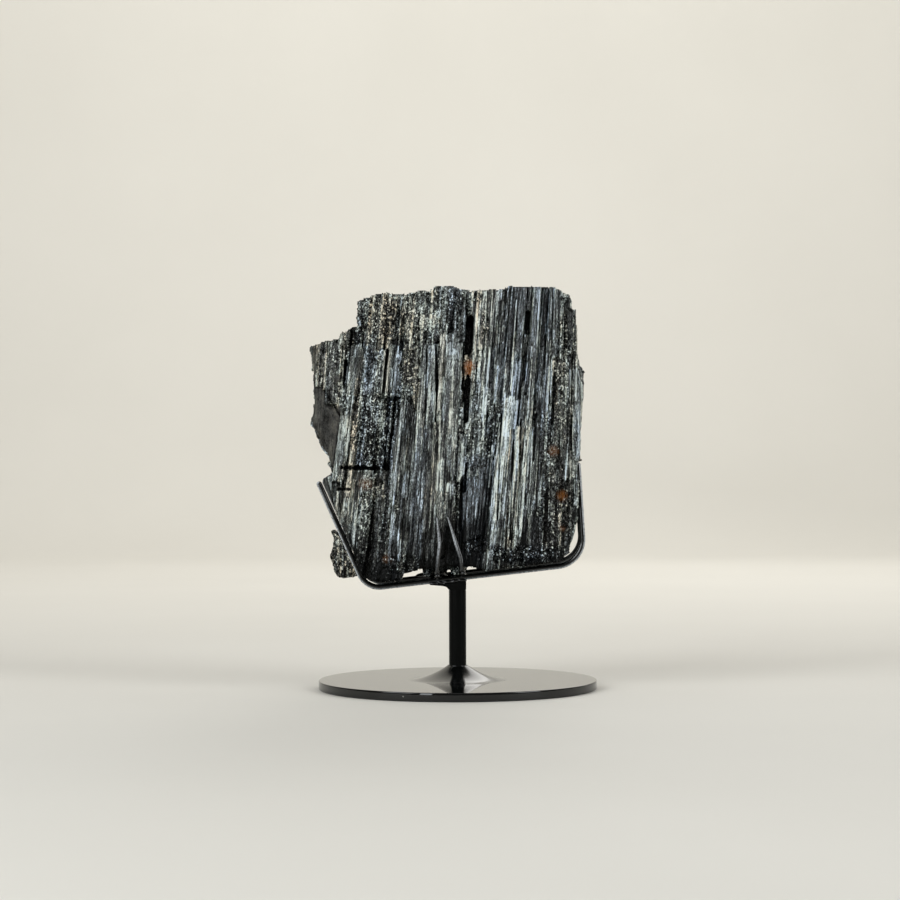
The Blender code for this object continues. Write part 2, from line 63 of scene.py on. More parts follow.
# The cradle that it stands in: the bar's height over the stem and its slope, then for each arm the x of
# its bend, how far the side that it turns to the stone is from facing right, the bend's radius, and how
# high the stone gives it room. The rear rod sits a little to the right of the front one, and higher.
BAR_LEVEL, BAR_SLOPE = 81.85, 6.5
LEFT_ARM, RIGHT_ARM = (-65.8, 24.0, 15.3, 152.0), (91.2, 183.5, 19.6, 165.3)
PAST_RODS_Y, ROD_ROOM, REAR_SHIFT = 29.3, 2.3, (1.4, 0.6)
PRONGS_X, PRONGS_TOP, SHORT_OF_PRONGS_Y = (-19.5, 8.5), 128.5, 43.4
PRONG_SLOTS, SLOTS_FROM_Y, SLOTS_UP_TO = ((-17.6, -5.3), (1.7, 7.2)), 6.5, 89.2
HOLLOWS_OVER_BAR = ((-39.5, -25, 85.2, 88.8), (6.9, 18, 90.1, 88.4))


def bar_height(x):
    return BAR_LEVEL + math.tan(math.radians(BAR_SLOPE)) * x


def cradle_sides(shift):
    """Straight cuts that together follow the cradle's inner side: each one's normal, reach and top."""
    sides, bar_angle = [], math.radians(90 + BAR_SLOPE)
    for bend_x, arm_degrees, radius, top in (LEFT_ARM, RIGHT_ARM):
        arm_angle = math.radians(arm_degrees)
        normals = np.array([[math.cos(a), math.sin(a)] for a in (arm_angle, bar_angle)])
        corner = np.array([bend_x, bar_height(bend_x)])
        centre = corner + np.linalg.solve(normals, np.array([radius, radius])) + shift
        for angle in np.linspace(arm_angle, bar_angle, 9):
            normal = np.array([math.cos(angle), math.sin(angle)])
            sides.append((normal, normal @ centre - (radius - ROD_ROOM), top + shift[1]))
    return sides


FRONT_SIDES, REAR_SIDES = cradle_sides((0, 0)), cradle_sides(REAR_SHIFT)


def between(values, low, high):
    return (values > low) & (values < high)


def short_of_cradle(p):
    """For each cut of the cradle, how far the points between the rods lie outside it."""
    for sides, this_half in ((FRONT_SIDES, p[:, 1] < 0), (REAR_SIDES, p[:, 1] >= 0)):
        for normal, reach, top in sides:
            short = reach - p[:, 0] * normal[0] - p[:, 2] * normal[1]
            yield normal, short, this_half & (short > 0) & (p[:, 2] < top) & (np.abs(p[:, 1]) < PAST_RODS_Y)


def in_rod_room(points):
    return np.any([caught for _, _, caught in short_of_cradle(points)], axis=0)


def clear_of_stand(points, way):
    """Draws points off the stand: forwards (-1) or backwards (1) past the rods, or inside them (0)."""
    p = points.copy()
    for _ in range(2):
        for normal, short, caught in short_of_cradle(p):
            if way:
                p[caught, 1] = way * PAST_RODS_Y
            else:
                p[caught, 0] += short[caught] * normal[0]
                p[caught, 2] += short[caught] * normal[1]
    over_prongs = between(p[:, 0], *PRONGS_X) & (p[:, 2] < PRONGS_TOP)
    p[over_prongs, 1] = np.clip(p[over_prongs, 1], -SHORT_OF_PRONGS_Y, SHORT_OF_PRONGS_Y)
    slotted = np.any([between(p[:, 0], *slot) for slot in PRONG_SLOTS], axis=0)
    slotted &= np.abs(p[:, 1]) > SLOTS_FROM_Y
    p[slotted, 2] = np.maximum(p[slotted, 2], SLOTS_UP_TO)
    for low_x, high_x, low_z, high_z in HOLLOWS_OVER_BAR:
        hollow = between(p[:, 0], low_x, high_x)
        floor = np.interp(p[hollow, 0], (low_x, high_x), (low_z, high_z))
        p[hollow, 2] = np.maximum(p[hollow, 2], floor)
    return p


def softened(values, across, along):
    """The running mean over this many neighbours to each side, first across the face and then along it."""
    for reach in (max(across, 1), max(along, 1)):
        values, span = values.T, 2 * reach + 1
        padded = np.concatenate([values[:1].repeat(reach + 1, 0), values, values[-1:].repeat(reach, 0)])
        total = np.cumsum(padded, axis=0)
        values = (total[span:] - total[:-span]) / span
    return values


def side_by_side(*values):
    """One row for each point, with a value from each."""
    return np.stack(values, axis=-1).reshape(-1, len(values))


# Widths and lengths of the ridges and grains, how far they rise, and how much their shade varies.
RIDGES = ((7, 90, 0.42, 0.06), (3, 46, 0.36, 0.11), (1.6, 22, 0.30, 0.15), (0.85, 12, 0.18, 0.13))
GRAINS = ((6, 8, 0.9, 0.04), (2.6, 3.4, 0.55, 0.08), (1.3, 1.6, 0.32, 0.13))
# The skirt behind a broken edge draws in where the edge lies this close to the outline, and takes the
# look of upright sides or of rough ends.
AT_OUTLINE, AT_SIDE, SKIRT_TAPER, ROUGH_END = 3, 4, 0.7, 1.15


class StoneFace:
    """One side of the stone. height is how far each point stands out. pale, tint (0 blue, 0.5 green,
    1 brown) and broken (1 granular, 0 ridged, -1 a smooth dull fracture) are its look."""

    def __init__(self, axes, across, along, lean, height, seed):
        self.axes, self.across, self.along = np.array(axes, float), across, along
        self.rng = np.random.default_rng(seed)
        self.v = np.repeat(along[:, None], len(across), axis=1)
        shift = np.tan(np.radians(np.interp(across, *zip(*lean))))
        self.u = across[None] + shift[None] * (self.v - along.mean())
        self.height = height + np.zeros_like(self.u)
        self.pale, self.tint, self.broken = (np.full(self.u.shape, value) for value in (0.1, 0.4, 1.0))
        self.inside = np.ones(self.u.shape, bool)
        strip, _ = self.strips(1.4)
        self.jag = self.rng.normal(0, 1, strip.max() + 1)[strip]

    def strips(self, width):
        """Cuts the face into upright strips of about this width: each column's strip, and place in it."""
        widths = self.rng.gamma(2.5, width / 2.5, int(1.8 * np.ptp(self.across) / width) + 30)
        cuts = self.across[0] - 3 * width + np.cumsum(widths)
        strip = np.searchsorted(cuts, self.across)
        return strip, 2 * (self.across - cuts[strip - 1]) / (cuts[strip] - cuts[strip - 1]) - 1

    def runs(self, width, length):
        """Cuts each strip into runs of about this length: each point's run, and its place across it."""
        strip, place = self.strips(width)
        number, total = np.zeros(self.u.shape, int), 0
        for one in np.unique(strip):
            count = int(3 * np.ptp(self.along) / length) + 12
            start = self.along[0] - self.rng.uniform(0, length)
            cuts = start + np.cumsum(self.rng.gamma(2, length / 2, count))
            here = strip == one
            run = np.searchsorted(cuts, self.along[:, None] + 1.6 * self.jag[here])
            number[:, here] = total + run
            total += run.max() + 1
        return number, place[None]

    def grains(self, size, tall):
        """Covers the face in uneven grains: each point's grain, and its place from the grain's middle."""
        a, b = self.u / size, self.v / tall
        a, b = a - a.min() + 1, b - b.min() + 1
        column, row = np.floor(a).astype(int), np.floor(b).astype(int)
        wide = column.max() + 2
        middle = self.rng.random((row.max() + 2, wide, 2))
        nearest, number = np.full(a.shape, 9.0), np.zeros(a.shape, int)
        away_a, away_b = np.zeros(a.shape), np.zeros(a.shape)
        for i in (-1, 0, 1):
            for j in (-1, 0, 1):
                spot = middle[row + j, column + i]
                da, db = a - column - i - spot[..., 0], b - row - j - spot[..., 1]
                nearer = da**2 + db**2 < nearest
                nearest[nearer] = (da**2 + db**2)[nearer]
                number[nearer] = ((row + j) * wide + column + i)[nearer]
                away_a[nearer], away_b[nearer] = da[nearer], db[nearer]
        return number, away_a, away_b

    def crystals(self, table, level):
        """Stands the table's crystals together. level gives the face's height at each one's place."""
        for count, (place, width, low, high, lean, proud, turn, pale, tint, broken) in enumerate(table):
            off = self.u - place - math.tan(math.radians(lean)) * (self.v - (low + high) / 2)
            a = np.abs(off) / (0.56 * width)
            jag = np.roll(self.jag, 37 * count)[None] * (0.8 + 0.8 * max(broken or 0, 0))
            above, below = self.v - low + jag, high - self.v + np.roll(jag, 11)
            end = np.clip(1.4 - np.minimum(above, below), 0, 1.4)
            height = level(place) + proud - 1.1 * a**4 - np.tan(math.radians(turn)) * off - 0.5 * end
            outer = (a < 1) & (above > 0) & (below > 0) & (height > self.height)
            self.height[outer] = height[outer]
            if pale is None:
                self.pale[outer] += self.rng.normal(0.02, 0.1)
                continue
            for look, value in ((self.pale, pale), (self.tint, tint), (self.broken, broken)):
                look[outer] = value

    def near(self, x0, z0, x1, z1, half_width, ragged):
        """How close each point is to a line, from 1 on it to 0 at its edge."""
        along = np.array([x1 - x0, z1 - z0])
        length = math.hypot(*along) + 1e-6
        way = along / length
        u, v = self.u - x0, self.v - z0
        t = np.clip(u * way[0] + v * way[1], 0, length)
        away = np.hypot(u - t * way[0], v - t * way[1]) / (half_width * (1 + ragged * self.jag[None]))
        return np.clip(1 - away, 0, 1)

    def groove(self, x0, z0, x1, z1, width, depth, dark=0.35):
        # painted shade: the groove is darkened as well as cut in
        share = np.clip(2.2 * self.near(x0, z0, x1, z1, width / 2, 0.15), 0, 1)
        self.height -= depth * share
        self.pale -= dark * share

    def streak(self, x0, z0, x1, z1, width, pale, tint, rise=0.5):
        share = np.clip(2.5 * self.near(x0, z0, x1, z1, width / 2, 0.2), 0, 1)
        self.height += rise * share
        self.pale += (pale - self.pale) * share
        self.tint += (tint - self.tint) * share
        self.broken *= 1 - share

    def patch(self, x, z, half_width, half_height, pale, tint, broken):
        """Gives an uneven patch its own look, without changing its height."""
        number, _, _ = self.grains(4, 6)
        uneven = self.rng.normal(0, 0.16, number.max() + 1)[number]
        away = np.hypot((self.u - x) / half_width, (self.v - z) / half_height)
        share = np.clip(4 * (1 - away + uneven), 0, 1)
        for look, value in ((self.pale, pale), (self.tint, tint), (self.broken, broken)):
            look += (value - look) * share

    def splinter(self, relief=1.0):
        """Cuts ridges, splinters and grains into the face, and shades each by itself. It also paints shade
        into the hollows and highlight onto the ridges.
        """
        granular, smooth = np.clip(self.broken, 0, 1), np.clip(-self.broken, 0, 1)
        ridged = relief * (1 - 0.85 * smooth) * (1 - 0.45 * granular)
        for width, length, rise, shade in RIDGES:
            run, place = self.runs(width, length)
            level, tilt, tone = self.rng.normal(0, 1, (3, run.max() + 1))
            self.height += ridged * rise * (0.7 * level[run] + 0.55 * tilt[run] * place)
            self.pale += shade * tone[run] * (1 - 0.75 * smooth)
            self.tint += 0.09 * np.roll(tone, 1)[run]
        for size, tall, rise, shade in GRAINS:
            number, away_a, away_b = self.grains(size, tall)
            level, tilt_a, tilt_b, tone = self.rng.normal(0, 1, (4, number.max() + 1))
            rough = relief * (granular + 0.06 * smooth)
            tilt = tilt_a[number] * away_a + tilt_b[number] * away_b
            self.height += rough * rise * (0.6 * level[number] + 0.9 * tilt)
            self.pale += granular * shade * tone[number]
        step_u, step_v = np.ptp(self.across) / len(self.across), np.ptp(self.along) / len(self.along)
        around = softened(self.height, int(1.6 / step_u), int(1.6 / step_v))
        # painted shade and highlight: darker where a point lies below its neighbours, paler where it stands
        # above
        self.pale += np.clip(0.16 * (self.height - around), -0.35, 0.18)

    def trim(self, outline, round_off=1.6):
        """Breaks the face off along an outline of (across, along) corners, a little rounded there."""
        number, _, _ = self.grains(1.5, 2.2)
        ragged = self.rng.normal(0, 0.25, (2, number.max() + 1))[:, number]
        u, v = self.u + ragged[0], self.v + ragged[1] + 0.12 * self.jag[None]
        crossings, away = np.zeros(u.shape, int), np.full(u.shape, 1e9)
        for (u0, v0), (u1, v1) in zip(outline, outline[1:] + outline[:1]):
            wide, tall = u1 - u0, v1 - v0
            if tall:
                crossings += ((v0 > v) != (v1 > v)) & (u < u0 + (v - v0) * wide / tall)
            t = np.clip(((u - u0) * wide + (v - v0) * tall) / (wide**2 + tall**2), 0, 1)
            away = np.minimum(away, np.hypot(u - u0 - t * wide, v - v0 - t * tall))
        self.inside &= crossings % 2 == 1
        self.height -= round_off * np.clip(1 - away / 2.5, 0, 1) ** 2
        self.away = away

    def piece(self, name, way, skirt, first=0, last=None):
        """Makes the piece, with a skirt that runs back into the stone from its broken edge."""
        part = (slice(None), slice(first, last))
        u, v = self.u[part], self.v[part]
        u_column, v_column, height_column = (a.reshape(-1, 1) for a in (u, v, self.height[part]))
        points = u_column * self.axes[0] + v_column * self.axes[1] + height_column * self.axes[2]
        sound = self.inside[part].ravel()
        if way:
            sound = sound & ~in_rod_room(points)
        points = clear_of_stand(points, way)
        at = np.arange(len(points)).reshape(u.shape)
        faces = side_by_side(at[:-1, :-1], at[:-1, 1:], at[1:, 1:], at[1:, :-1])
        faces = faces[sound[faces].all(axis=1)]
        edges = np.concatenate([faces[:, [i, (i + 1) % 4]] for i in range(4)])
        code, reverse = edges @ (len(points), 1), edges @ (1, len(points))
        rim = edges[~np.isin(code, reverse)]
        on_rim = np.unique(rim)

        inward = side_by_side(u, v)[on_rim] - (0, self.along.mean())
        at_outline = self.away[part].ravel()[on_rim, None] < AT_OUTLINE
        inward *= -SKIRT_TAPER * skirt * at_outline / np.linalg.norm(inward, axis=1)[:, None]
        behind = clear_of_stand(points[on_rim] + inward @ self.axes[:2] - skirt * self.axes[2], way)
        near_rim = len(points) + np.searchsorted(on_rim, rim)
        deep_rim = near_rim + len(on_rim)
        walls = np.c_[near_rim[:, 1], near_rim[:, 0], deep_rim[:, 0], deep_rim[:, 1]]
        faces = np.concatenate([faces, walls])

        row_start = np.where(self.inside, self.u, np.inf).min(1)[:, None]
        row_end = np.where(self.inside, self.u, -np.inf).max(1)[:, None]
        at_side = ((u - row_start < AT_SIDE) | (row_end - u < AT_SIDE)).ravel()[on_rim, None]
        across = np.repeat(self.across[first:last][None], len(self.along), axis=0)
        grain = side_by_side(across, v, softened(self.height, 3, 10)[part])
        rim_grain = grain[on_rim] * np.where(at_side, (0.3, 1, 0), (1, 1, 0))
        deep_grain = rim_grain + np.where(at_side, (skirt, 0, 0), (0, skirt, 0))
        looks = (self.pale, self.tint, self.broken)
        look = side_by_side(*(a[part] for a in looks))
        rim_look = side_by_side(*(softened(a, 5, 12)[part] for a in looks))[on_rim]
        rim_look[:, 2:] = np.where(at_side, rim_look[:, 2:], ROUGH_END)

        points = np.concatenate([points, points[on_rim], behind])
        grain = np.concatenate([grain, rim_grain, deep_grain])
        look = np.concatenate([look, rim_look, rim_look])
        used, faces = np.unique(faces, return_inverse=True)
        stone_piece(name, points[used], faces.reshape(-1, 4), grain[used], look[used])


def put_in_scene(name, made):
    thing = bpy.data.objects.new(name, made)
    bpy.context.scene.collection.objects.link(thing)
    return thing


def stone_piece(name, points, faces, grain, look):
    mesh = bpy.data.meshes.new(name)
    mesh.vertices.add(len(points))
    mesh.vertices.foreach_set("co", (points * 0.001).astype(np.float32).ravel())
    mesh.loops.add(faces.size)
    mesh.loops.foreach_set("vertex_index", faces.ravel().astype(np.int32))
    mesh.polygons.add(len(faces))
    mesh.polygons.foreach_set("loop_start", np.arange(0, faces.size, 4, dtype=np.int32))
    mesh.update(calc_edges=True)
    for attribute, values in (("grain", grain), ("look", look)):
        stored = mesh.attributes.new(attribute, "FLOAT_VECTOR", "POINT")
        stored.data.foreach_set("vector", values.astype(np.float32).ravel())
    mesh.shade_flat()
    mesh.materials.append(TOURMALINE)
    made = put_in_scene(name, mesh)
    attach(made, "root")
    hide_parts("tourmaline")


def feed(made, **inputs):
    """Gives a shader node its inputs. Names use _ for a space, and nNUMBER means the socket's position."""
    for name, value in inputs.items():
        socket = made.inputs[int(name[1:])] if name[1:].isdigit() else made.inputs[name.replace("_", " ")]
        if isinstance(value, bpy.types.NodeSocket):
            made.id_data.links.new(value, socket)
        else:
            socket.default_value = value
    return made


def node(tree, kind, settings=None, **inputs):
    made = tree.nodes.new("ShaderNode" + kind)
    for name, value in (settings or {}).items():
        setattr(made, name, value)
    return feed(made, **inputs)


def arithmetic(operation, a, b, c=0.0, clamp=False):
    return node(a.id_data, "Math", {"operation": operation, "use_clamp": clamp}, n0=a, n1=b, n2=c).outputs[0]


def scaled(value, by, plus):
    return arithmetic("MULTIPLY_ADD", value, by, plus)


def ranged(value, low, high, to_low, to_high):
    """The value, moved from the range low to high into the other range, and held inside it."""
    made = node(value.id_data, "MapRange", n0=value, n1=low, n2=high, n3=to_low, n4=to_high)
    return made.outputs[0]


def mottled(place, scale, detail, roughness=0.5):
    made = node(place.id_data, "TexNoise", Vector=place, Scale=scale, Detail=detail, Roughness=roughness)
    return made.outputs["Fac"]


def painted(share, under, over, blend="MIX"):
    settings = {"data_type": "RGBA", "blend_type": blend}
    return node(under.id_data, "Mix", settings, n0=share, n6=under, n7=over).outputs[2]


def colour_steps(factor, *steps):
    """A colour ramp through (position, colour) steps."""
    ramp = node(factor.id_data, "ValToRGB", Fac=factor)
    elements = ramp.color_ramp.elements
    while len(elements) < len(steps):
        elements.new(0.5)
    for element, (position, colour) in zip(elements, steps):
        element.position = position
        element.color = (*colour, 1)
    return ramp.outputs["Color"]


def stored_on_mesh(tree, name, output="Vector"):
    return node(tree, "Attribute", {"attribute_name": name}).outputs[output]


def new_finish(name):
    """A new material, its main shader, and the place of each point on the piece."""
    material = bpy.data.materials.new(name)
    material.use_nodes = True
    place = node(material.node_tree, "TexCoord").outputs["Object"]
    return material, material.node_tree.nodes["Principled BSDF"], place


# Rust in a few hollows: x, y, z, radius and strength.
RUST, RUST_FRINGE = (0.25, 0.095, 0.022, 1), 3
RUST_SPOTS = (
    (9.0, -36, 234, 5.4, 1.2), (8.6, -36, 230, 3.8, 1.0), (75, -36, 141, 4.8, 0.5), (76, -36, 118.5, 4, 0.4),
    (69, -36, 173, 5, 0.3), (-66, -38, 150, 6, 0.25), (-1, -39, 300, 5, 0.3), (-50, -36, 96, 5, 0.3),
)
# From black through dark grey to the palest ridges, whose pale greys are painted highlight and
# reflection on black stone, then the casts: blue, green and brown.
GREYS = (
    (0.0, (0.0025, 0.0027, 0.0026)), (0.3, (0.0115, 0.0125, 0.0122)), (0.55, (0.052, 0.057, 0.053)),
    (0.8, (0.203, 0.213, 0.202)), (1.0, (0.68, 0.685, 0.665)),
)
CASTS = ((0.0, (0.80, 0.95, 1.17)), (0.45, (0.93, 1.02, 0.97)), (1.0, (1.16, 1.0, 0.78)))


def tourmaline_finish():
    """Black and glassy, with grey-blue and grey-green streaks, bright grains where it broke, and rust.
    The pale of the streaks and grains is partly painted highlight and painted glints.
    """
    material, shader, place = new_finish("black_tourmaline")
    tree = material.node_tree
    pale, tint, broken = node(tree, "SeparateXYZ", Vector=stored_on_mesh(tree, "look")).outputs
    crushed_share = arithmetic("MAXIMUM", broken, 0.0)
    granular = arithmetic("MINIMUM", crushed_share, 1.0)
    smooth = arithmetic("MULTIPLY", broken, -1.0, clamp=True)
    grain = stored_on_mesh(tree, "grain")

    def streaks(across, along, detail):
        stretched = node(tree, "VectorMath", {"operation": "MULTIPLY"}, n0=grain, n1=(across, along, across))
        return mottled(stretched.outputs[0], 1.0, detail, 0.6)

    ridges, bands = streaks(1.5, 0.035, 2.0), streaks(0.28, 0.010, 1.0)
    hairs, nicks = streaks(4.2, 0.12, 2.0), streaks(1.9, 0.6, 3.0)
    crushed = streaks(1.15, 0.62, 3.0)
    crumbs = node(tree, "TexVoronoi", Vector=place, Scale=1050.0)
    crumb_glint, crumb_tone, crumb_gloss = node(tree, "SeparateColor", Color=crumbs.outputs["Color"]).outputs
    grit, clouds = mottled(place, 1500.0, 2.0), mottled(place, 90.0, 4.0)

    # how pale each kind of surface is: ridged, crushed to grains, or a smooth dull fracture; its bright end
    #     # is painted highlight
    ridged = scaled(nicks, 2.1, scaled(ridges, 1.9, arithmetic("MULTIPLY", bands, 0.4)))
    ridged = arithmetic("SUBTRACT", scaled(hairs, 1.9, ridged), 3.08)
    ridged_share = arithmetic("SUBTRACT", scaled(crushed_share, -0.7, 1.0), smooth, clamp=True)
    speckled = scaled(crushed, 2.6, scaled(crumb_tone, 0.35, -1.46))
    # painted glints: the few brightest crumbs are made pale in the base colour
    speckled = arithmetic("ADD", speckled, ranged(crumb_glint, 0.84, 0.98, 0.0, 0.75))
    dull = scaled(clouds, 0.9, scaled(nicks, 1.0, -0.95))
    dull = scaled(arithmetic("SUBTRACT", grit, 0.5), 0.35, dull)
    shade = scaled(speckled, crushed_share, scaled(ridged, ridged_share, pale))
    shade = scaled(dull, smooth, shade)

    colour = painted(1.0, colour_steps(shade, *GREYS), colour_steps(tint, *CASTS), "MULTIPLY")
    for x, y, z, radius, strength in RUST_SPOTS:
        spot = (x / 1000, y / 1000, z / 1000)
        away = node(tree, "VectorMath", {"operation": "DISTANCE"}, n0=place, n1=spot).outputs["Value"]
        ends = (radius + RUST_FRINGE) / 1000, (0.35 * radius + RUST_FRINGE) / 1000
        colour = painted(ranged(scaled(grit, 0.006, away), *ends, 0.0, strength), colour, RUST)

    ridge_rough, crumb_rough = ranged(ridges, 0.3, 0.7, 0.42, 0.2), scaled(crumb_gloss, 0.35, 0.12)
    rough = node(tree, "Mix", {"data_type": "FLOAT"}, n0=granular, n2=ridge_rough, n3=crumb_rough).outputs[0]
    lines, pits = scaled(hairs, 0.5, ridges), scaled(grit, 0.6, crumbs.outputs["Distance"])
    relief = node(tree, "Mix", {"data_type": "FLOAT"}, n0=granular, n2=lines, n3=pits).outputs[0]
    bump = node(tree, "Bump", Strength=0.6, Distance=0.0005, Height=relief).outputs[0]
    # where the shade is dark, painted shade included, the reflection is cut down with it
    feed(
        shader, Base_Color=colour, Roughness=scaled(smooth, 0.25, rough), Normal=bump, IOR=1.63,
        Specular_IOR_Level=ranged(shade, 0.0, 0.4, 0.06, 0.5),
    )
    return material


TOURMALINE = tourmaline_finish()

# The face's broken edge as (x, z), then the grain's lean to the right as (x, degrees).
FRONT_OUTLINE = [
    (-107.7, 249.1), (-94.6, 253.1), (-85.1, 254.5), (-84.4, 257.9), (-76.9, 262), (-69, 264.1),
    (-71.4, 271.6), (-71.8, 281.2), (-66, 283.2), (-60.5, 285.3), (-53, 287), (-44, 286.3), (-33.8, 286),
    (-26.9, 288.4), (-20.1, 288.7), (-15.4, 291.8), (-2.7, 291.9), (2.4, 289.7), (9.7, 288.6),
    (33.1, 289.3), (36.7, 291.5), (70.2, 290.6), (76.1, 287.5), (80.5, 286), (83, 281), (82.7, 275.8),
    (85.5, 274.4), (86.7, 251.8), (87.7, 235), (90.7, 229.9), (91, 222.6), (89.2, 189.7), (89, 178.3),
    (88, 158.3), (87, 132.2), (83, 112.1), (78, 98.1), (73.4, 93.2), (44.8, 90), (18.6, 87.2),
    (17.8, 88.4), (10.5, 89.5), (7, 90.4), (1.9, 90.3), (-6.6, 89.6), (-15.9, 88.9), (-25.2, 88.4),
    (-39.5, 84.6), (-40, 80.5), (-46, 79.5), (-60.7, 79.1), (-66, 81.3), (-70, 84.6), (-75, 90),
    (-80, 100), (-97.4, 140), (-101, 152), (-95.8, 154.5), (-89.6, 157.1), (-89.9, 160.5), (-93, 170.2),
    (-98, 176.4), (-102, 187.4), (-105.4, 194.3), (-103.4, 212), (-104.5, 228), (-105.5, 237.5),
]
FRONT_LEAN = [
    (-105, 4), (-80, 6), (-55, 6.5), (-25, 4.2), (0, 3), (20, 5), (36, 6), (50, 4.8), (62, 3.2), (78, 1),
    (95, -1),
]

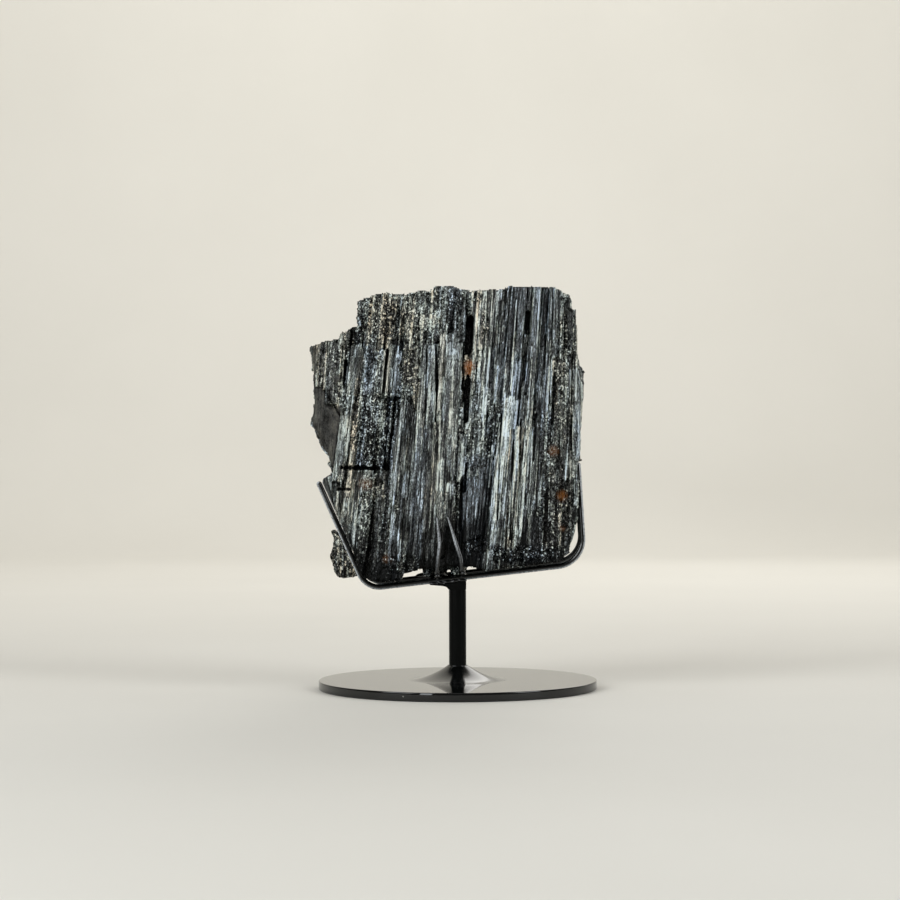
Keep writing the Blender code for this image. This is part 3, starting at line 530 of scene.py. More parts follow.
# x at half height, width, lowest and highest z, lean in degrees, how far it stands proud, how many
# degrees it turns to the right, then its look.
FRONT_CRYSTALS = (
    # upper left block, broken and granular
    (-66.6, 12, 243, 290, -5, -3, -14, 0.3, 0.6, 0.7),
    (-60, 11, 245, 300, 3, -1, -4, 0.34, 0.6, 0.7),
    (-52.7, 14, 246, 300, 3, 0, 6, 0.34, 0.65, 0.7),
    (-39.9, 15, 246, 300, 4, -1, -8, 0.28, 0.6, 0.7),
    (-27, 14, 244, 300, 3, 1, 5, 0.34, 0.55, 0.7),
    # steps down to the left shoulder
    (-81.5, 9, 238, 262, 0, -3, -20, 0.3, 0.65, 0.9),
    (-74.5, 11, 238, 266, 0, -5, -12, 0.24, 0.65, 0.9),
    (-102, 12, 223, 260, -3, -13, -50, 0.34, 0.7, -0.4),
    (-95, 12, 219, 260, 3, -6, -26, 0.34, 0.65, 0.5),
    (-87.5, 11, 206, 260, 3, -3, -12, 0.34, 0.55, 0.4),
    # smooth facet turned away below the shoulder
    (-93, 28, 156, 228, -9, -9.5, -36, 0.33, 0.95, -1),
    # beside the left arm
    (-87, 16, 126, 160, -20, -11, -30, 0.2, 0.5, -0.7),
    (-83, 10, 108, 160, -14, -6, -18, 0.26, 0.5, 0.1),
    # left strips and the block of three columns
    (-79, 8, 152, 249, 8, 1.1, -10, 0.42, 0.45, 0),
    (-72, 8, 203, 248, 9, 0.6, 6, 0.32, 0.5, 0.3),
    (-60.6, 18, 206, 250, 6, 0, -4, 0.34, 0.1, 0.7),
    (-51.3, 6, 212, 246, 6, 1.1, -20, 0.34, 0.45, 0),
    (-47, 5.5, 210, 249, 6, 2.8, 0, 0.56, 0.5, 0),
    (-42.7, 5.5, 212, 249, 6, 2.2, 26, 0.5, 0.2, 0),
    (-33.5, 13, 194, 250, 4, 0, 5, 0.40, 0.7, 0.7),
    (-24, 7, 188, 250, 3, 1.1, -10, 0.6, 0.5, 0),
    (-18.6, 7, 190, 250, 3, 1.3, 12, 0.54, 0.4, 0),
    (-8.8, 10.5, 144, 258, 3, 0.9, -6, 0.52, 0.42, 0.1),
    (-1.2, 7, 188, 252, 3, 0.6, 9, 0.32, 0.4, 0.1),
    (-8.5, 26, 250, 300, 1, -1, 0, 0.2, 0.4, 0.6),
    # right of the deep crack, with a rusty plug in it
    (8.8, 9, 226, 242, 3, -3, 0, 0.28, 0.9, 0.8),
    (14, 9, 194, 248, 3, -1.5, -5, 0.32, 0.5, 0.8),
    (13, 6, 244, 300, 2, -3, -10, 0.24, 0.4, 0.3),
    (17.2, 7, 245, 300, 4, 1.1, -13, 0.48, 0.55, 0),
    (22, 7, 190, 300, 5, 0, 6, 0.36, 0.5, 0.2),
    (28, 8, 204, 300, 5, 0.6, 12, 0.40, 0.3, 0.1),
    (33.5, 7, 208, 300, 4.5, -1, 0, 0.28, 0.05, 0),
    (38.7, 7.5, 190, 300, 5, 1.1, 6, 0.34, 0.05, 0),
    (43.5, 7, 208, 300, 5, 1.1, -12, 0.34, 0.1, 0),
    (49.5, 8, 273, 300, 3, 0.6, 0, 0.24, 0.2, 0),
    (48.6, 8, 186, 274, 4, -2.2, 0, 0.22, 0.12, 0.1),
    (53.6, 6, 186, 300, 4.5, 1.7, -20, 0.54, 0.35, 0),
    (57.8, 6, 206, 300, 4, 0, 0, 0.22, 0.05, 0),
    (63, 8, 186, 300, 3, 1.1, 10, 0.44, 0.2, 0),
    (68.2, 7, 240, 300, 1, 1.7, -10, 0.4, 0.3, 0),
    (72.4, 6, 240, 300, 1, 0.6, 26, 0.40, 0.3, 0),
    (78, 10, 262, 300, 0, -4, 20, 0.42, 0.5, 0.2),
    (79.5, 14, 226, 273.5, 0, -4, 16, 0.26, 0.6, 0.9),
    (83.3, 14, 136, 232, -1, -4, 18, 0.59, 0.35, 0),
    (72.9, 12, 176, 246, 2, 0, 6, 0.44, 0.65, 0.6),
    # broken patch in the middle left
    (-68.5, 17, 162, 209, 6, -2, 0, 0.18, 0.05, 1),
    (-54, 18, 162, 211, 6, -3, 6, 0.22, 0.05, 1),
    # long strips below it
    (-44.9, 7, 80, 212, 6.5, 1.3, -15, 0.36, 0.35, 0),
    (-39.5, 6, 80, 206, 5.5, 0.6, 12, 0.33, 0.25, 0),
    (-34.6, 7, 80, 200, 5, 0, 0, 0.31, 0.25, 0),
    (-28, 9, 80, 193, 4, 1.1, -6, 0.30, 0.2, 0),
    (-18.4, 12, 80, 194, 4, 0.6, 6, 0.28, 0.6, 0.1),
    (-8, 11, 118, 190, 3, 0.6, 0, 0.36, 0.5, 0.1),
    (-4, 18, 80, 126, 2, -1, 0, 0.22, 0.5, 0.3),
    (3, 5, 150, 186, 5, 1.7, 22, 0.5, 0.4, 0),
    (6.4, 11, 80, 154, 5, 0.6, -6, 0.3, 0.2, 0.1),
    (14.4, 11, 150, 197, 5, -1, 0, 0.34, 0.5, 0.5),
    (18.7, 12, 80, 167, 5, 0, 5, 0.27, 0.1, 0.1),
    (28, 8, 80, 213, 8, 1.6, -16, 0.76, 0.3, 0),
    (33.6, 7, 80, 210, 6, 1.1, 6, 0.80, 0.28, 0),
    (39.2, 7, 80, 192, 5.5, 1.7, -10, 0.74, 0.65, 0),
    (45, 7, 80, 212, 5.5, 1.7, 12, 0.80, 0.22, 0),
    (50.6, 7, 80, 190, 5, 0.6, -6, 0.44, 0.3, 0),
    (56.2, 7, 80, 210, 4, 0.6, 6, 0.42, 0.35, 0.1),
    (63, 9, 80, 190, 3, 0, 0, 0.28, 0.5, 0.4),
    (70, 9, 80, 184, 3, 0, 9, 0.28, 0.6, 0.35),
    (80, 14, 80, 182, 2, -3, 16, 0.28, 0.5, 0.3),
    # lower left, beside the arm
    (-77.5, 12, 90, 160, 6, -0.6, -16, 0.30, 0.5, 0.1),
    (-71.8, 8, 78, 160, 5, 0.6, 0, 0.29, 0.55, 0),
    (-65, 10, 78, 160, 5, 2, 6, 0.24, 0.5, 0.8),
    (-55.2, 13, 78, 160, 7, 0.6, -6, 0.26, 0.55, 0.4),
    (-64, 20, 70, 104, 0, 0, -4, 0.24, 0.4, 0.8),
    (-50, 15, 70, 100, 0, -3, 5, 0.2, 0.4, 0.6),
    # between the left strip and the broken patch
    (-75, 9, 150, 214, 7, -0.8, 0, 0.3, 0.5, 0.5),
)
# Splits, holes and ledges: from (x, z) to (x, z), width, depth, and how much painted shade darkens them.
GROOVES = (
    (9.2, 268, 7.9, 245, 5.6, 14, 0.6), (7.7, 223, 6.2, 196, 4.6, 14, 0.6),
    (-49.8, 245.5, -53, 212, 2.2, 4, 0.5), (-15.2, 250, -14.8, 216, 1.8, 2, 0.35),
    (-42.2, 276, -42, 271, 3.5, 2.5, 0.4), (-38, 268, -40, 246, 4, 2, 0.25),
    (-51.6, 254, -52, 246, 2.2, 2, 0.4), (-98, 221, -84, 199, 1.6, 1.2, 0.15),
    (-101, 208, -83, 172, 9, 0.3, 0.05), (-95, 214, -84, 186, 3, 0.3, 0.06),
    (-88, 172, -80, 158, 9, 0.6, 0.08), (-103, 192, -92, 172, 3, 0.4, 0.05),
    (-55, 211, -39.5, 211, 3, 3, 0.4), (50.6, 272, 50, 258, 4.4, 3.5, 0.4),
    (49.4, 249, 48, 214, 4, 1, 0.12), (42, 290, 40, 249, 6, 1.2, 0.2), (64.5, 290, 61, 249, 5, 1.6, 0.2),
    (89, 233, 90, 224, 4, 5, 0.5), (70, 228, 68.2, 192, 3, 2, 0.35), (5.3, 154, 4.6, 145.5, 4.5, 4, 0.5),
    (2.7, 152, 2.2, 117, 2.6, 2.5, 0.45), (24.8, 167, 19.5, 103, 6, 2.2, 0.3),
    (31.6, 199, 28.5, 124, 1.4, 1.6, 0.4), (37, 138, 33.5, 95, 1.6, 1.6, 0.35),
    (40.5, 188, 37.5, 110, 1.6, 1.6, 0.4), (45.5, 195, 43.4, 117, 1.6, 1.6, 0.35),
    (56.3, 199, 54.6, 167, 3, 1.6, 0.3), (82, 199, 81.5, 174, 2.2, 1.6, 0.35),
    (-58, 152.5, -63.4, 104, 2.8, 3, 0.45), (-63.4, 104, -67, 85, 2.8, 3, 0.45),
    (-82, 161.5, -57, 161, 3.2, 5, 0.5), (-85, 146, -77, 146, 2.2, 3, 0.45),
    (-21.5, 249, -23, 192, 1.0, 1.2, 0.35), (-27, 274, -27.4, 249, 1.2, 1.2, 0.35),
    (-82, 249, -84, 213, 1.4, 1.2, 0.35), (-76.4, 249, -80, 213, 1.2, 1.2, 0.3),
)
# Bright slivers, fibres that stand a little proud with a painted highlight: from (x, z) to (x, z), width,
# # then pale and tint.
SLIVERS = (
    (42.7, 281, 38.4, 217, 1.2, 0.95, 0.35), (58.8, 288, 56.3, 210, 1.2, 0.85, 0.4),
    (55, 290, 52, 188, 3.2, 0.60, 0.4), (69, 290, 66, 246, 3.4, 0.56, 0.3),
    (-12.1, 206, -13, 160, 1.4, 0.85, 0.3), (4.1, 181, 2.7, 156, 1.8, 1.05, 0.35),
    (30, 199, 26.3, 124, 2.6, 0.92, 0.35), (34.8, 188, 29.4, 138, 2.4, 0.92, 0.35),
    (38.2, 188, 36, 160, 2, 0.86, 0.9), (43.2, 174, 40.6, 117, 2, 0.88, 0.35),
    (50.5, 196, 48, 159, 3.8, 0.72, 0.35), (79.2, 178, 77.6, 152.5, 1.2, 1.0, 0.35),
    (81.6, 167, 81, 152.5, 1, 0.9, 0.35), (-41.5, 123, -42.2, 106, 1.4, 1.05, 0.35),
    (-1.8, 245, -4, 228, 4, 0.64, 0.4), (-9.6, 227, -10.4, 195, 3, 0.58, 0.35),
    (21.2, 288, 18.6, 192, 1.2, 0.72, 0.4), (-73.8, 152, -75, 106, 3, 0.56, 0.5),
    (-40.6, 195, -49.5, 92, 2.6, 0.56, 0.15), (-36.6, 195, -42, 95, 2.2, 0.55, 0.15),
    (88.6, 224, 86.4, 146, 4, 0.56, 0.25), (-72.6, 249, -76, 199, 3, 0.52, 0.5),
    (-76, 199, -83, 156, 2.2, 0.48, 0.5), (22.7, 243, 20, 200, 1.2, 0.75, 0.4),
    (29, 286, 27, 210, 2.4, 0.56, 0.45), (25.6, 290, 22, 225, 1.0, 0.75, 0.35),
    (-45.8, 248, -47.5, 212, 1.4, 0.7, 0.55),
)
# Patches of another look: x, z, half width, half height, then pale, tint and broken. The three darkest,
# # low down at z 92 to 106, carry painted shade along the foot as well as their grainy break.
PATCHES = (
    (-58, 207, 18, 9, 0.15, 0.32, 1.3), (-60, 190, 18, 24, 0.13, 0.3, 1.6),
    (-52, 195, 7, 8, 0.34, 0.35, 1.7), (-37, 215, 7, 10, 0.38, 0.45, 1.0),
    (-33, 235, 8, 20, 0.34, 0.75, 0.9), (-56, 268, 18, 18, 0.35, 0.75, 1.0),
    (-30, 264, 18, 15, 0.345, 0.65, 0.9), (-22, 280, 14, 10, 0.32, 0.45, 1.0),
    (-6, 281, 11, 10, 0.24, 0.35, 0.85), (10, 284, 12, 6, 0.32, 0.6, 0.9),
    (20, 265, 3, 14, 0.34, 0.65, 0.9), (22, 205, 12, 20, 0.36, 0.5, 0.75),
    (10, 205, 6, 12, 0.3, 0.4, 0.8), (9, 190, 10, 10, 0.34, 0.5, 0.8), (78, 255, 8, 19, 0.28, 0.55, 1.0),
    (72, 232, 6, 9, 0.38, 0.8, 0.9), (77, 205, 7, 26, 0.45, 0.65, 0.75),
    (66, 180, 8, 28, 0.34, 0.45, 0.7), (70, 130, 14, 34, 0.11, 0.6, 0.75),
    (-66, 130, 5, 26, 0.25, 0.5, 0.95), (-58, 146, 6, 10, 0.26, 0.75, 0.9),
    (-45, 134, 4, 8, 0.40, 0.5, 0.8), (-52, 112, 6, 20, 0.23, 0.55, 0.7),
    (-84, 240, 6, 10, 0.34, 0.5, 0.8), (-82, 211, 5, 15, 0.22, 0.45, 0.95),
    (13, 165, 9, 6, 0.24, 0.3, 0.7), (50, 99, 34, 7, -0.06, 0.2, 1.2), (-40, 92, 16, 8, 0.04, 0.5, 1.2),
    (13, 106, 8, 7, 0.03, 0.2, 1.25), (84, 170, 4, 22, 0.52, 0.6, 0.5),
)


# Thin crystals that stand anywhere between them, and threads of another shade, the pale ones a painted
# # highlight: from and to x, lowest and highest z, how many, and the shades that they take. Then where the
# # stone stays behind the left arm.
THIN_CRYSTALS, PALE_THREADS, DARK_THREADS = 150, (0.18, 0.32, 0.8, 0.95, 1.1), (0.1, 0.16, 0.22, 0.6)
THREADS = (
    (25, 54, 112, 205, 70, PALE_THREADS), (-46, -6, 110, 215, 50, DARK_THREADS),
    (15, 68, 200, 286, 60, DARK_THREADS),
)
ARM_EDGE = ((79.5, -66.5), (87, -71), (97, -74.3), (110, -75.6), (124, -80.2), (138, -86.7), (154, -95))
BEHIND_ARM_Y = 28.3


def front_level(x):
    return 39 - 6 * (x / 95) ** 2


def front_lean(x):
    return np.interp(x, *zip(*FRONT_LEAN))


front = StoneFace(
    ((1, 0, 0), (0, 0, 1), (0, -1, 0)), np.arange(-118, 104, 0.4), np.arange(77, 295, 0.8), FRONT_LEAN, 0, 11
)
front.height += np.interp(front.u, (-112, -80, -73, 74, 84, 94), (-2, 12, 32, 32, 22, 10))
front.crystals(FRONT_CRYSTALS, front_level)
thin_ones = []
for _ in range(THIN_CRYSTALS):
    place, length = front.rng.uniform(-76, 88), front.rng.gamma(2.5, 16) + 12
    low = front.rng.uniform(90, 285 - length)
    lean = front_lean(place) + front.rng.normal(0, 0.7)
    width, proud, turn = front.rng.uniform(1.6, 5), front.rng.uniform(-0.6, 1.3), front.rng.normal(0, 9)
    thin_ones.append((place, width, low, low + length, lean, proud, turn, None, None, None))
front.crystals(thin_ones, front_level)

# painted shade: the foot is darker, and darkest in the prongs' shadow behind them
foot = np.clip((np.interp(front.u, (-60, -30), (126, 134)) - front.v) / 22, 0, 1)
front.pale -= 0.03 + 0.38 * foot + 0.5 * front.near(-3, 84, -5, 118, 12, 0)
for groove in GROOVES:
    front.groove(*groove)
for patch in PATCHES:
    front.patch(*patch)
for sliver in SLIVERS:
    front.streak(*sliver)
for start, end, low, high, threads, shades in THREADS:
    for _ in range(threads):
        place, length = front.rng.uniform(start, end), front.rng.uniform(8, 34)
        top = front.rng.uniform(low + length, high)
        drift = length * math.tan(math.radians(front_lean(place)))
        pale = front.rng.choice(shades)
        width, tint = front.rng.uniform(0.7, 1.5), front.rng.uniform(0.2, 0.6)
        front.streak(place, top, place - drift, top - length, width, pale, tint, 0)
# painted shade: darker still towards the bottom edge, below z 99
front.pale -= 0.35 * np.clip((99 - front.v) / 8, 0, 1)
front.splinter()
front.trim(FRONT_OUTLINE)
past_arm = (front.u < np.interp(front.v, *zip(*ARM_EDGE))) & (front.v < ARM_EDGE[-1][0])
front.height = np.where(past_arm, np.minimum(front.height, BEHIND_ARM_Y), front.height)
middle = len(front.across) // 2
front.piece("stone_front_left", -1, 9, last=middle + 1)
front.piece("stone_front_right", -1, 9, first=middle)

# ------------------------------------------------------------ back of the stone
# The back is the same kind of sheet: upright crystals at uneven heights, split along and across. No
# crystal there needs a place of its own, so they stand side by side at random. The outline is given as
# seen from behind: how far right, and z.
BROKEN_SHARE = 0.3


def filling(rng, start, end, low, high, width, proud, lean_way=1):
    """Crystals that fill a stretch of face, each cut once or twice across."""
    table, place = [], start
    while place < end:
        wide = width * rng.uniform(0.6, 1.5)
        cuts = np.sort(rng.uniform(low + 0.12 * (high - low), high, rng.integers(0, 3)))
        for bottom, top in zip((low - 10, *cuts), (*cuts, high + 12)):
            broken = rng.uniform(0.5, 1) if rng.random() < BROKEN_SHARE else rng.uniform(0, 0.25)
            look = (0.40 - 0.14 * broken + rng.normal(0, 0.09), rng.uniform(0.1, 0.65), broken)
            stance = (lean_way * rng.normal(3, 1), rng.normal(0, proud), rng.normal(0, 11))
            table.append((place, 1.2 * wide, bottom - 3, top + 3, *stance, *look))
        place += wide * 0.85
    return table


BACK_OUTLINE = [
    (69, 264), (71.4, 271.6), (71.5, 281), (66, 283), (60, 285), (53, 286.5), (40, 284), (27, 287),
    (15.4, 289), (2.7, 290), (-9.7, 287), (-33, 289), (-52, 290), (-70, 289), (-76, 287), (-80.5, 285),
    (-83, 280), (-85, 273), (-86.7, 251.8), (-87.7, 235), (-90, 229), (-90, 222), (-89, 189.7),
    (-88.5, 178), (-87.5, 158), (-86.5, 132), (-82.5, 112), (-77.5, 98.5), (-73, 94.5), (-44, 93.5),
    (-10, 92), (15, 90), (40, 86), (60, 82.5), (68, 84), (75, 91), (80, 101), (96, 139), (99, 151),
    (95, 154.5), (89, 158), (90, 168), (96, 176), (99, 188), (101, 200), (100, 215), (102, 230),
    (103, 246), (94, 251), (85, 253), (77, 260),
]
# Broken patches (x, z, half width, half height) and splits in two steps (x, z, height, width).
BACK_PATCHES = (
    (-58, 235, 22, 26), (30, 120, 26, 14), (78, 235, 20, 20), (5, 285, 40, 8), (-30, 150, 14, 22),
)
BACK_SPLITS = (
    (-22, 210, 60, 3.4), (47, 200, 44, 2.2), (-66, 150, 40, 2), (12, 130, 30, 2.4), (-45, 262, 30, 2),
    (80, 225, 26, 2.4),
)


def back_level(x):
    return 40.5 - 7 * (x / 95) ** 4


back = StoneFace(
    ((-1, 0, 0), (0, 0, 1), (0, 1, 0)), np.arange(-100, 114, 0.65), np.arange(78, 294, 1.2),
    [(-100, -1), (-40, -4), (40, -5), (110, -3)], 31, 12,
)
back.crystals(filling(back.rng, -92, 106, 85, 290, 9.5, 1.8, lean_way=-1), back_level)
for x, z, wide, tall in BACK_PATCHES:
    back.patch(x, z, wide, tall, 0.28, back.rng.uniform(0.2, 0.7), 0.95)
for x, z, tall, width in BACK_SPLITS:
    back.groove(x + 2, z + tall / 2, x - 1, z, width, 3, 0.4)
    back.groove(x - 1.4, z + 3, x - 3, z - tall / 2, 0.7 * width, 2.4, 0.35)
back.splinter(1.25)
back.trim(BACK_OUTLINE, 2.5)
back.piece("stone_back", 1, 8)

# ------------------------------------------------------------ left and right sides of the stone
# Seen from the sides the crystals stand one behind another. The left side steps in at the shoulder and
# again where it enters the cradle; the right side is nearly straight. Both keep inside the cradle.

# Profiles are (z, x), going up. Edges are corners as seen from that side: how far right, and z.
LEFT_PROFILE = (
    (70, -55), (79, -61), (85, -70), (102.5, -76), (140, -92), (152, -96), (154, -94), (157, -89),
    (161, -89.5), (170, -92.5), (176, -97), (187, -101), (194, -104), (212, -102.5), (237, -104),
    (248.5, -106), (250, -95), (253.5, -92), (254.5, -84), (260, -77), (263, -70.5), (281, -70.5),
    (284, -64), (295, -56),
)
RIGHT_PROFILE = (
    (70, 60), (94, 72.5), (98, 77), (112, 82), (132, 86), (158, 87), (190, 88), (222, 90), (230, 89.5),
    (235, 87), (252, 86), (274, 85), (276, 82), (281, 82), (286, 79.5), (288, 74), (295, 66),
)
LEFT_EDGE = [
    (-38, 100), (-27, 84), (24, 84), (25, 104), (22, 128), (17, 140), (14, 158), (15, 178), (12, 200),
    (14, 215), (12, 236), (15, 251), (24, 255), (32, 263), (34, 280), (26, 283), (-24, 283), (-37, 279),
    (-38, 262), (-34, 160),
]
RIGHT_EDGE = [
    (-31, 110), (-24, 96), (26, 96), (38, 112), (40, 200), (39, 283), (28, 287), (-26, 287), (-34, 283),
    (-33, 262), (-30, 240), (-28, 230), (-28, 150),
]
for name, way, profile, edge, seed in (
    ("stone_left", -1, LEFT_PROFILE, LEFT_EDGE, 13), ("stone_right", 1, RIGHT_PROFILE, RIGHT_EDGE, 14),
):
    along = np.arange(82, 292, 1.2)
    reach = way * np.interp(along, *zip(*profile))[:, None]
    axes = ((0, way, 0), (0, 0, 1), (way, 0, 0))
    side = StoneFace(axes, np.arange(-40, 42, 0.6), along, [(-40, 0), (40, 0)], 0, seed)
    rounded = 3.0 * np.clip((np.abs(side.u - 1) - 24) / 15, 0, 1.2) ** 2
    side.height += -4.5 - rounded
    side.crystals(filling(side.rng, -38, 40, 85, 288, 9, 1.2), lambda place: -1.8)
    side.height += reach - rounded * 0.6
    for _ in range(5):
        y, z, tint = side.rng.uniform(-30, 30), side.rng.uniform(100, 280), side.rng.uniform(0.3, 0.8)
        side.patch(y, z, 12, 18, 0.28, tint, 0.95)
    side.splinter(1.15)
    side.trim(edge, 1.0)
    side.piece(name, 0, 5)

# ------------------------------------------------------------ top and underside of the stone
# The mass broke across the grain at both ends, so these are fields of column ends at uneven heights.
# They follow a profile that is given as (x, z), from left to right.
SHOULDER_PROFILE = (
    (-107.5, 248.5), (-95, 252), (-85.2, 253.5), (-83, 257), (-77, 261), (-71, 263), (-66, 264),
)
TOP_PROFILE = (
    (-72, 280), (-66, 282.5), (-60, 284.5), (-53, 286), (-34, 285.2), (-20, 287.8), (-15, 290.5),
    (-3, 290.5), (2.4, 288.8), (10, 287.6), (33, 288.3), (37, 290.3), (70, 289.6), (76, 286.5),
    (80.5, 285), (83.5, 280.5),
)
UNDER_PROFILE = (
    (-75, 96), (-70, 86), (-62, 80), (-46, 80), (-39.7, 81), (-39.4, 85.3), (-25, 89), (-24.6, 83),
    (1, 84), (6.7, 85), (6.9, 90.8), (18, 89.2), (18.3, 86), (45, 88), (73, 91.5), (78, 98), (83, 112),
)
for name, way, profile, front_edge, seed in (
    ("stone_top", 1, TOP_PROFILE, 36, 15), ("stone_shoulder", 1, SHOULDER_PROFILE, 16, 19),
    ("stone_underside", -1, UNDER_PROFILE, 29, 16),
):
    across = np.arange(profile[0][0], profile[-1][0], 0.8)
    axes = ((1, 0, 0), (0, way, 0), (0, 0, way))
    ends = StoneFace(axes, across, np.arange(-41, 43, 0.8), [(0, 0), (1, 0)], 0, seed)
    reach = way * np.interp(ends.u, *zip(*profile))
    ends.height += reach
    column, away_a, away_b = ends.grains(9, 8)
    level, tilt_a, tilt_b, tone, tint = ends.rng.normal(0, 1, (5, column.max() + 1))
    tilt = tilt_a[column] * away_a + tilt_b[column] * away_b
    ends.height += -1.2 - 1.6 * np.abs(level[column]) + 0.8 * tilt
    ends.height -= 3.0 * np.clip((np.abs(ends.v) - 30) / 12, 0, 1) ** 2
    ends.pale += 0.22 + 0.08 * tone[column]
    ends.broken += 0.4
    ends.tint += 0.15 * tint[column]
    ends.splinter()
    ends.height = np.minimum(ends.height, reach + 0.3)
    left, right = across[0] + 1, across[-1] - 1
    low, high = (-front_edge, 39) if way > 0 else (-38, front_edge)
    near_corners = [(left, low + 2), (left + 8, low), (right - 4, low), (right, low + 4)]
    far_corners = [(right, high - 4), (right - 5, high), (left + 5, high), (left, high - 4)]
    ends.trim(near_corners + far_corners, 1.5)
    ends.piece(name, 0, 5)

# ------------------------------------------------------------ heart of the stone
# Black crystal fills the middle, and shows only in the cracks, where it takes the lowest pale of all as
# # painted shade. In mm: height at left and right, then how far it reaches left, right, forwards and back.
HEART_RINGS = (
    (86, 97, -56, 60, -18, 20), (102, 110, -64, 66, -22, 26), (124, 124, -76, 72, -25, 28),
    (150, 150, -84, 76, -25, 28), (190, 190, -86, 76, -25, 28), (244, 244, -82, 72, -22, 26),
    (258, 268, -56, 62, -20, 22), (272, 275, -50, 56, -16, 18),
)
SQUARED_OFF = 0.42
rng, around, rings = np.random.default_rng(17), 48, []
angle = 2 * np.pi * (np.arange(around) + 0.5) / around
x_share, y_share = (np.sign(f) * np.abs(f) ** SQUARED_OFF for f in (np.cos(angle), np.sin(angle)))
for left_z, right_z, left, right, front_y, back_y in HEART_RINGS:
    x = (left + right) / 2 + x_share * (right - left) / 2 + rng.normal(0, 0.5, around)
    y = (front_y + back_y) / 2 + y_share * (back_y - front_y) / 2 + rng.normal(0, 0.5, around)
    rings.append(np.c_[x, y, left_z + (right_z - left_z) * (x - left) / (right - left)])
lowest, highest = (np.repeat(ring.mean(0)[None], around, axis=0) for ring in (rings[0], rings[-1]))
points = clear_of_stand(np.concatenate([lowest, *rings, highest]), 0)
at = np.arange(len(points)).reshape(-1, around)
beside = np.roll(at, -1, axis=1)
faces = side_by_side(at[:-1], beside[:-1], beside[1:], at[1:])
stone_piece("stone_heart", points, faces, points, np.tile((0.0, 0.4, 0.6), (len(points), 1)))

# ------------------------------------------------------------ low lobe of the stone
# A crumbly lump of the same stone hangs low behind the left arm, rounded below, with a small horn at its
# top. It has a front and a back of its own. The outline's corners are (x, z).
LOBE_MIDDLE_Y, CLEAR_OF_ROD_Y = 37.5, 30.2
LOBE_OUTLINE = [
    (-72, 82), (-76, 79.2), (-83, 78.4), (-88, 78.6), (-90.6, 81), (-93, 88), (-95.2, 94.6), (-93.4, 101),
    (-92.2, 108), (-94.5, 113.4), (-92, 114.8), (-88, 112.5), (-84, 117), (-80, 124), (-72, 134),
    (-64, 134), (-64, 90),
]
for name, way, bulge, across in (
    ("lobe_front", -1, 6.5, np.arange(-98, -62, 0.45)), ("lobe_back", 1, 8.0, np.arange(62, 98, 0.45)),
):
    axes, along = ((-way, 0, 0), (0, 0, 1), (0, way, 0)), np.arange(77, 136, 0.7)
    lump = StoneFace(axes, across, along, [(-1, 0), (1, 0)], way * LOBE_MIDDLE_Y, 18 + way)
    lump.trim([(-way * x, z) for x, z in LOBE_OUTLINE], 0)
    lump.height += bulge * np.sqrt(np.clip(lump.away / 9, 0, 1))
    lump.pale += 0.2
    lump.tint += 0.3
    lump.splinter(0.9)
    if way < 0:
        lump.height = np.minimum(lump.height, -CLEAR_OF_ROD_Y)
    lump.piece(name, 1, 1.5)

# ------------------------------------------------------------ base disc
# The base is a round plate of quarter-inch steel with eased edges, sprayed with gloss black lacquer. It
# lies flat on the table and is the glossiest piece of the stand. A little dust lies on it.
# The dust is real dust; the pale blue-grey is painted highlight along the rods and prongs.
DUST, PAINTED_HIGHLIGHT_COLOUR = (0.30, 0.29, 0.26, 1), (0.36, 0.385, 0.405, 1)
BLACKS = ((0.35, (0.0016, 0.0019, 0.0018)), (0.7, (0.0032, 0.0036, 0.0034)))


def lacquer(name, roughest, dust, gloss=0.5):
    """Black, a little cloudy, with dust specks, and pale with a painted highlight where the mesh carries
    one.
    """
    material, shader, place = new_finish(name)
    tree = material.node_tree
    clouds, peel, speckle = mottled(place, 28.0, 3.0), mottled(place, 420.0, 1.0), mottled(place, 700.0, 2.0)
    specks = node(tree, "TexVoronoi", Vector=place, Scale=160.0)
    speck_kind = node(tree, "SeparateColor", Color=specks.outputs["Color"]).outputs[0]
    speck = ranged(specks.outputs["Distance"], 0.10, 0.06, 0.0, 1.0)
    fleck = arithmetic("MULTIPLY", speck, ranged(speck_kind, 0.86, 0.9, 0.0, dust))
    # painted highlight: the lacquer turns pale, in specks, where the mesh asks for it
    painted_highlight = stored_on_mesh(tree, "painted_highlight", "Fac")
    painted_highlight = arithmetic("MULTIPLY", painted_highlight, arithmetic("MULTIPLY_ADD", speckle, 3.0, -0.7, clamp=True))
    colour = painted(painted_highlight, painted(fleck, colour_steps(clouds, *BLACKS), DUST), PAINTED_HIGHLIGHT_COLOUR)
    rough = ranged(clouds, 0.3, 0.75, 0.4 * roughest, roughest)
    rough = scaled(arithmetic("ADD", fleck, painted_highlight), 0.3, rough)
    bump = node(tree, "Bump", Strength=0.08, Distance=0.0001, Height=peel).outputs[0]
    feed(shader, Base_Color=colour, Roughness=rough, Normal=bump, IOR=1.5, Specular_IOR_Level=gloss)
    return material


def steel_piece(name, made, material, replaced, smooth=35, painted_highlight=None):
    """Turns a bmesh in metres into a lacquered piece that stands for the named solids, if any.
    painted_highlight says how strongly a painted highlight pales the lacquer at a place in mm that faces a
    given way."""
    bmesh.ops.recalc_face_normals(made, faces=made.faces)
    mesh = bpy.data.meshes.new(name)
    made.to_mesh(mesh)
    made.free()
    mesh.shade_smooth()
    mesh.set_sharp_from_angle(angle=math.radians(smooth))
    if painted_highlight:
        highlight_at = [painted_highlight(v.co * 1000, v.normal) for v in mesh.vertices]
        mesh.attributes.new("painted_highlight", "FLOAT", "POINT").data.foreach_set("value", highlight_at)
    mesh.materials.append(material)
    thing = put_in_scene(name, mesh)
    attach(thing, "root")
    if replaced:
        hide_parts(*replaced)


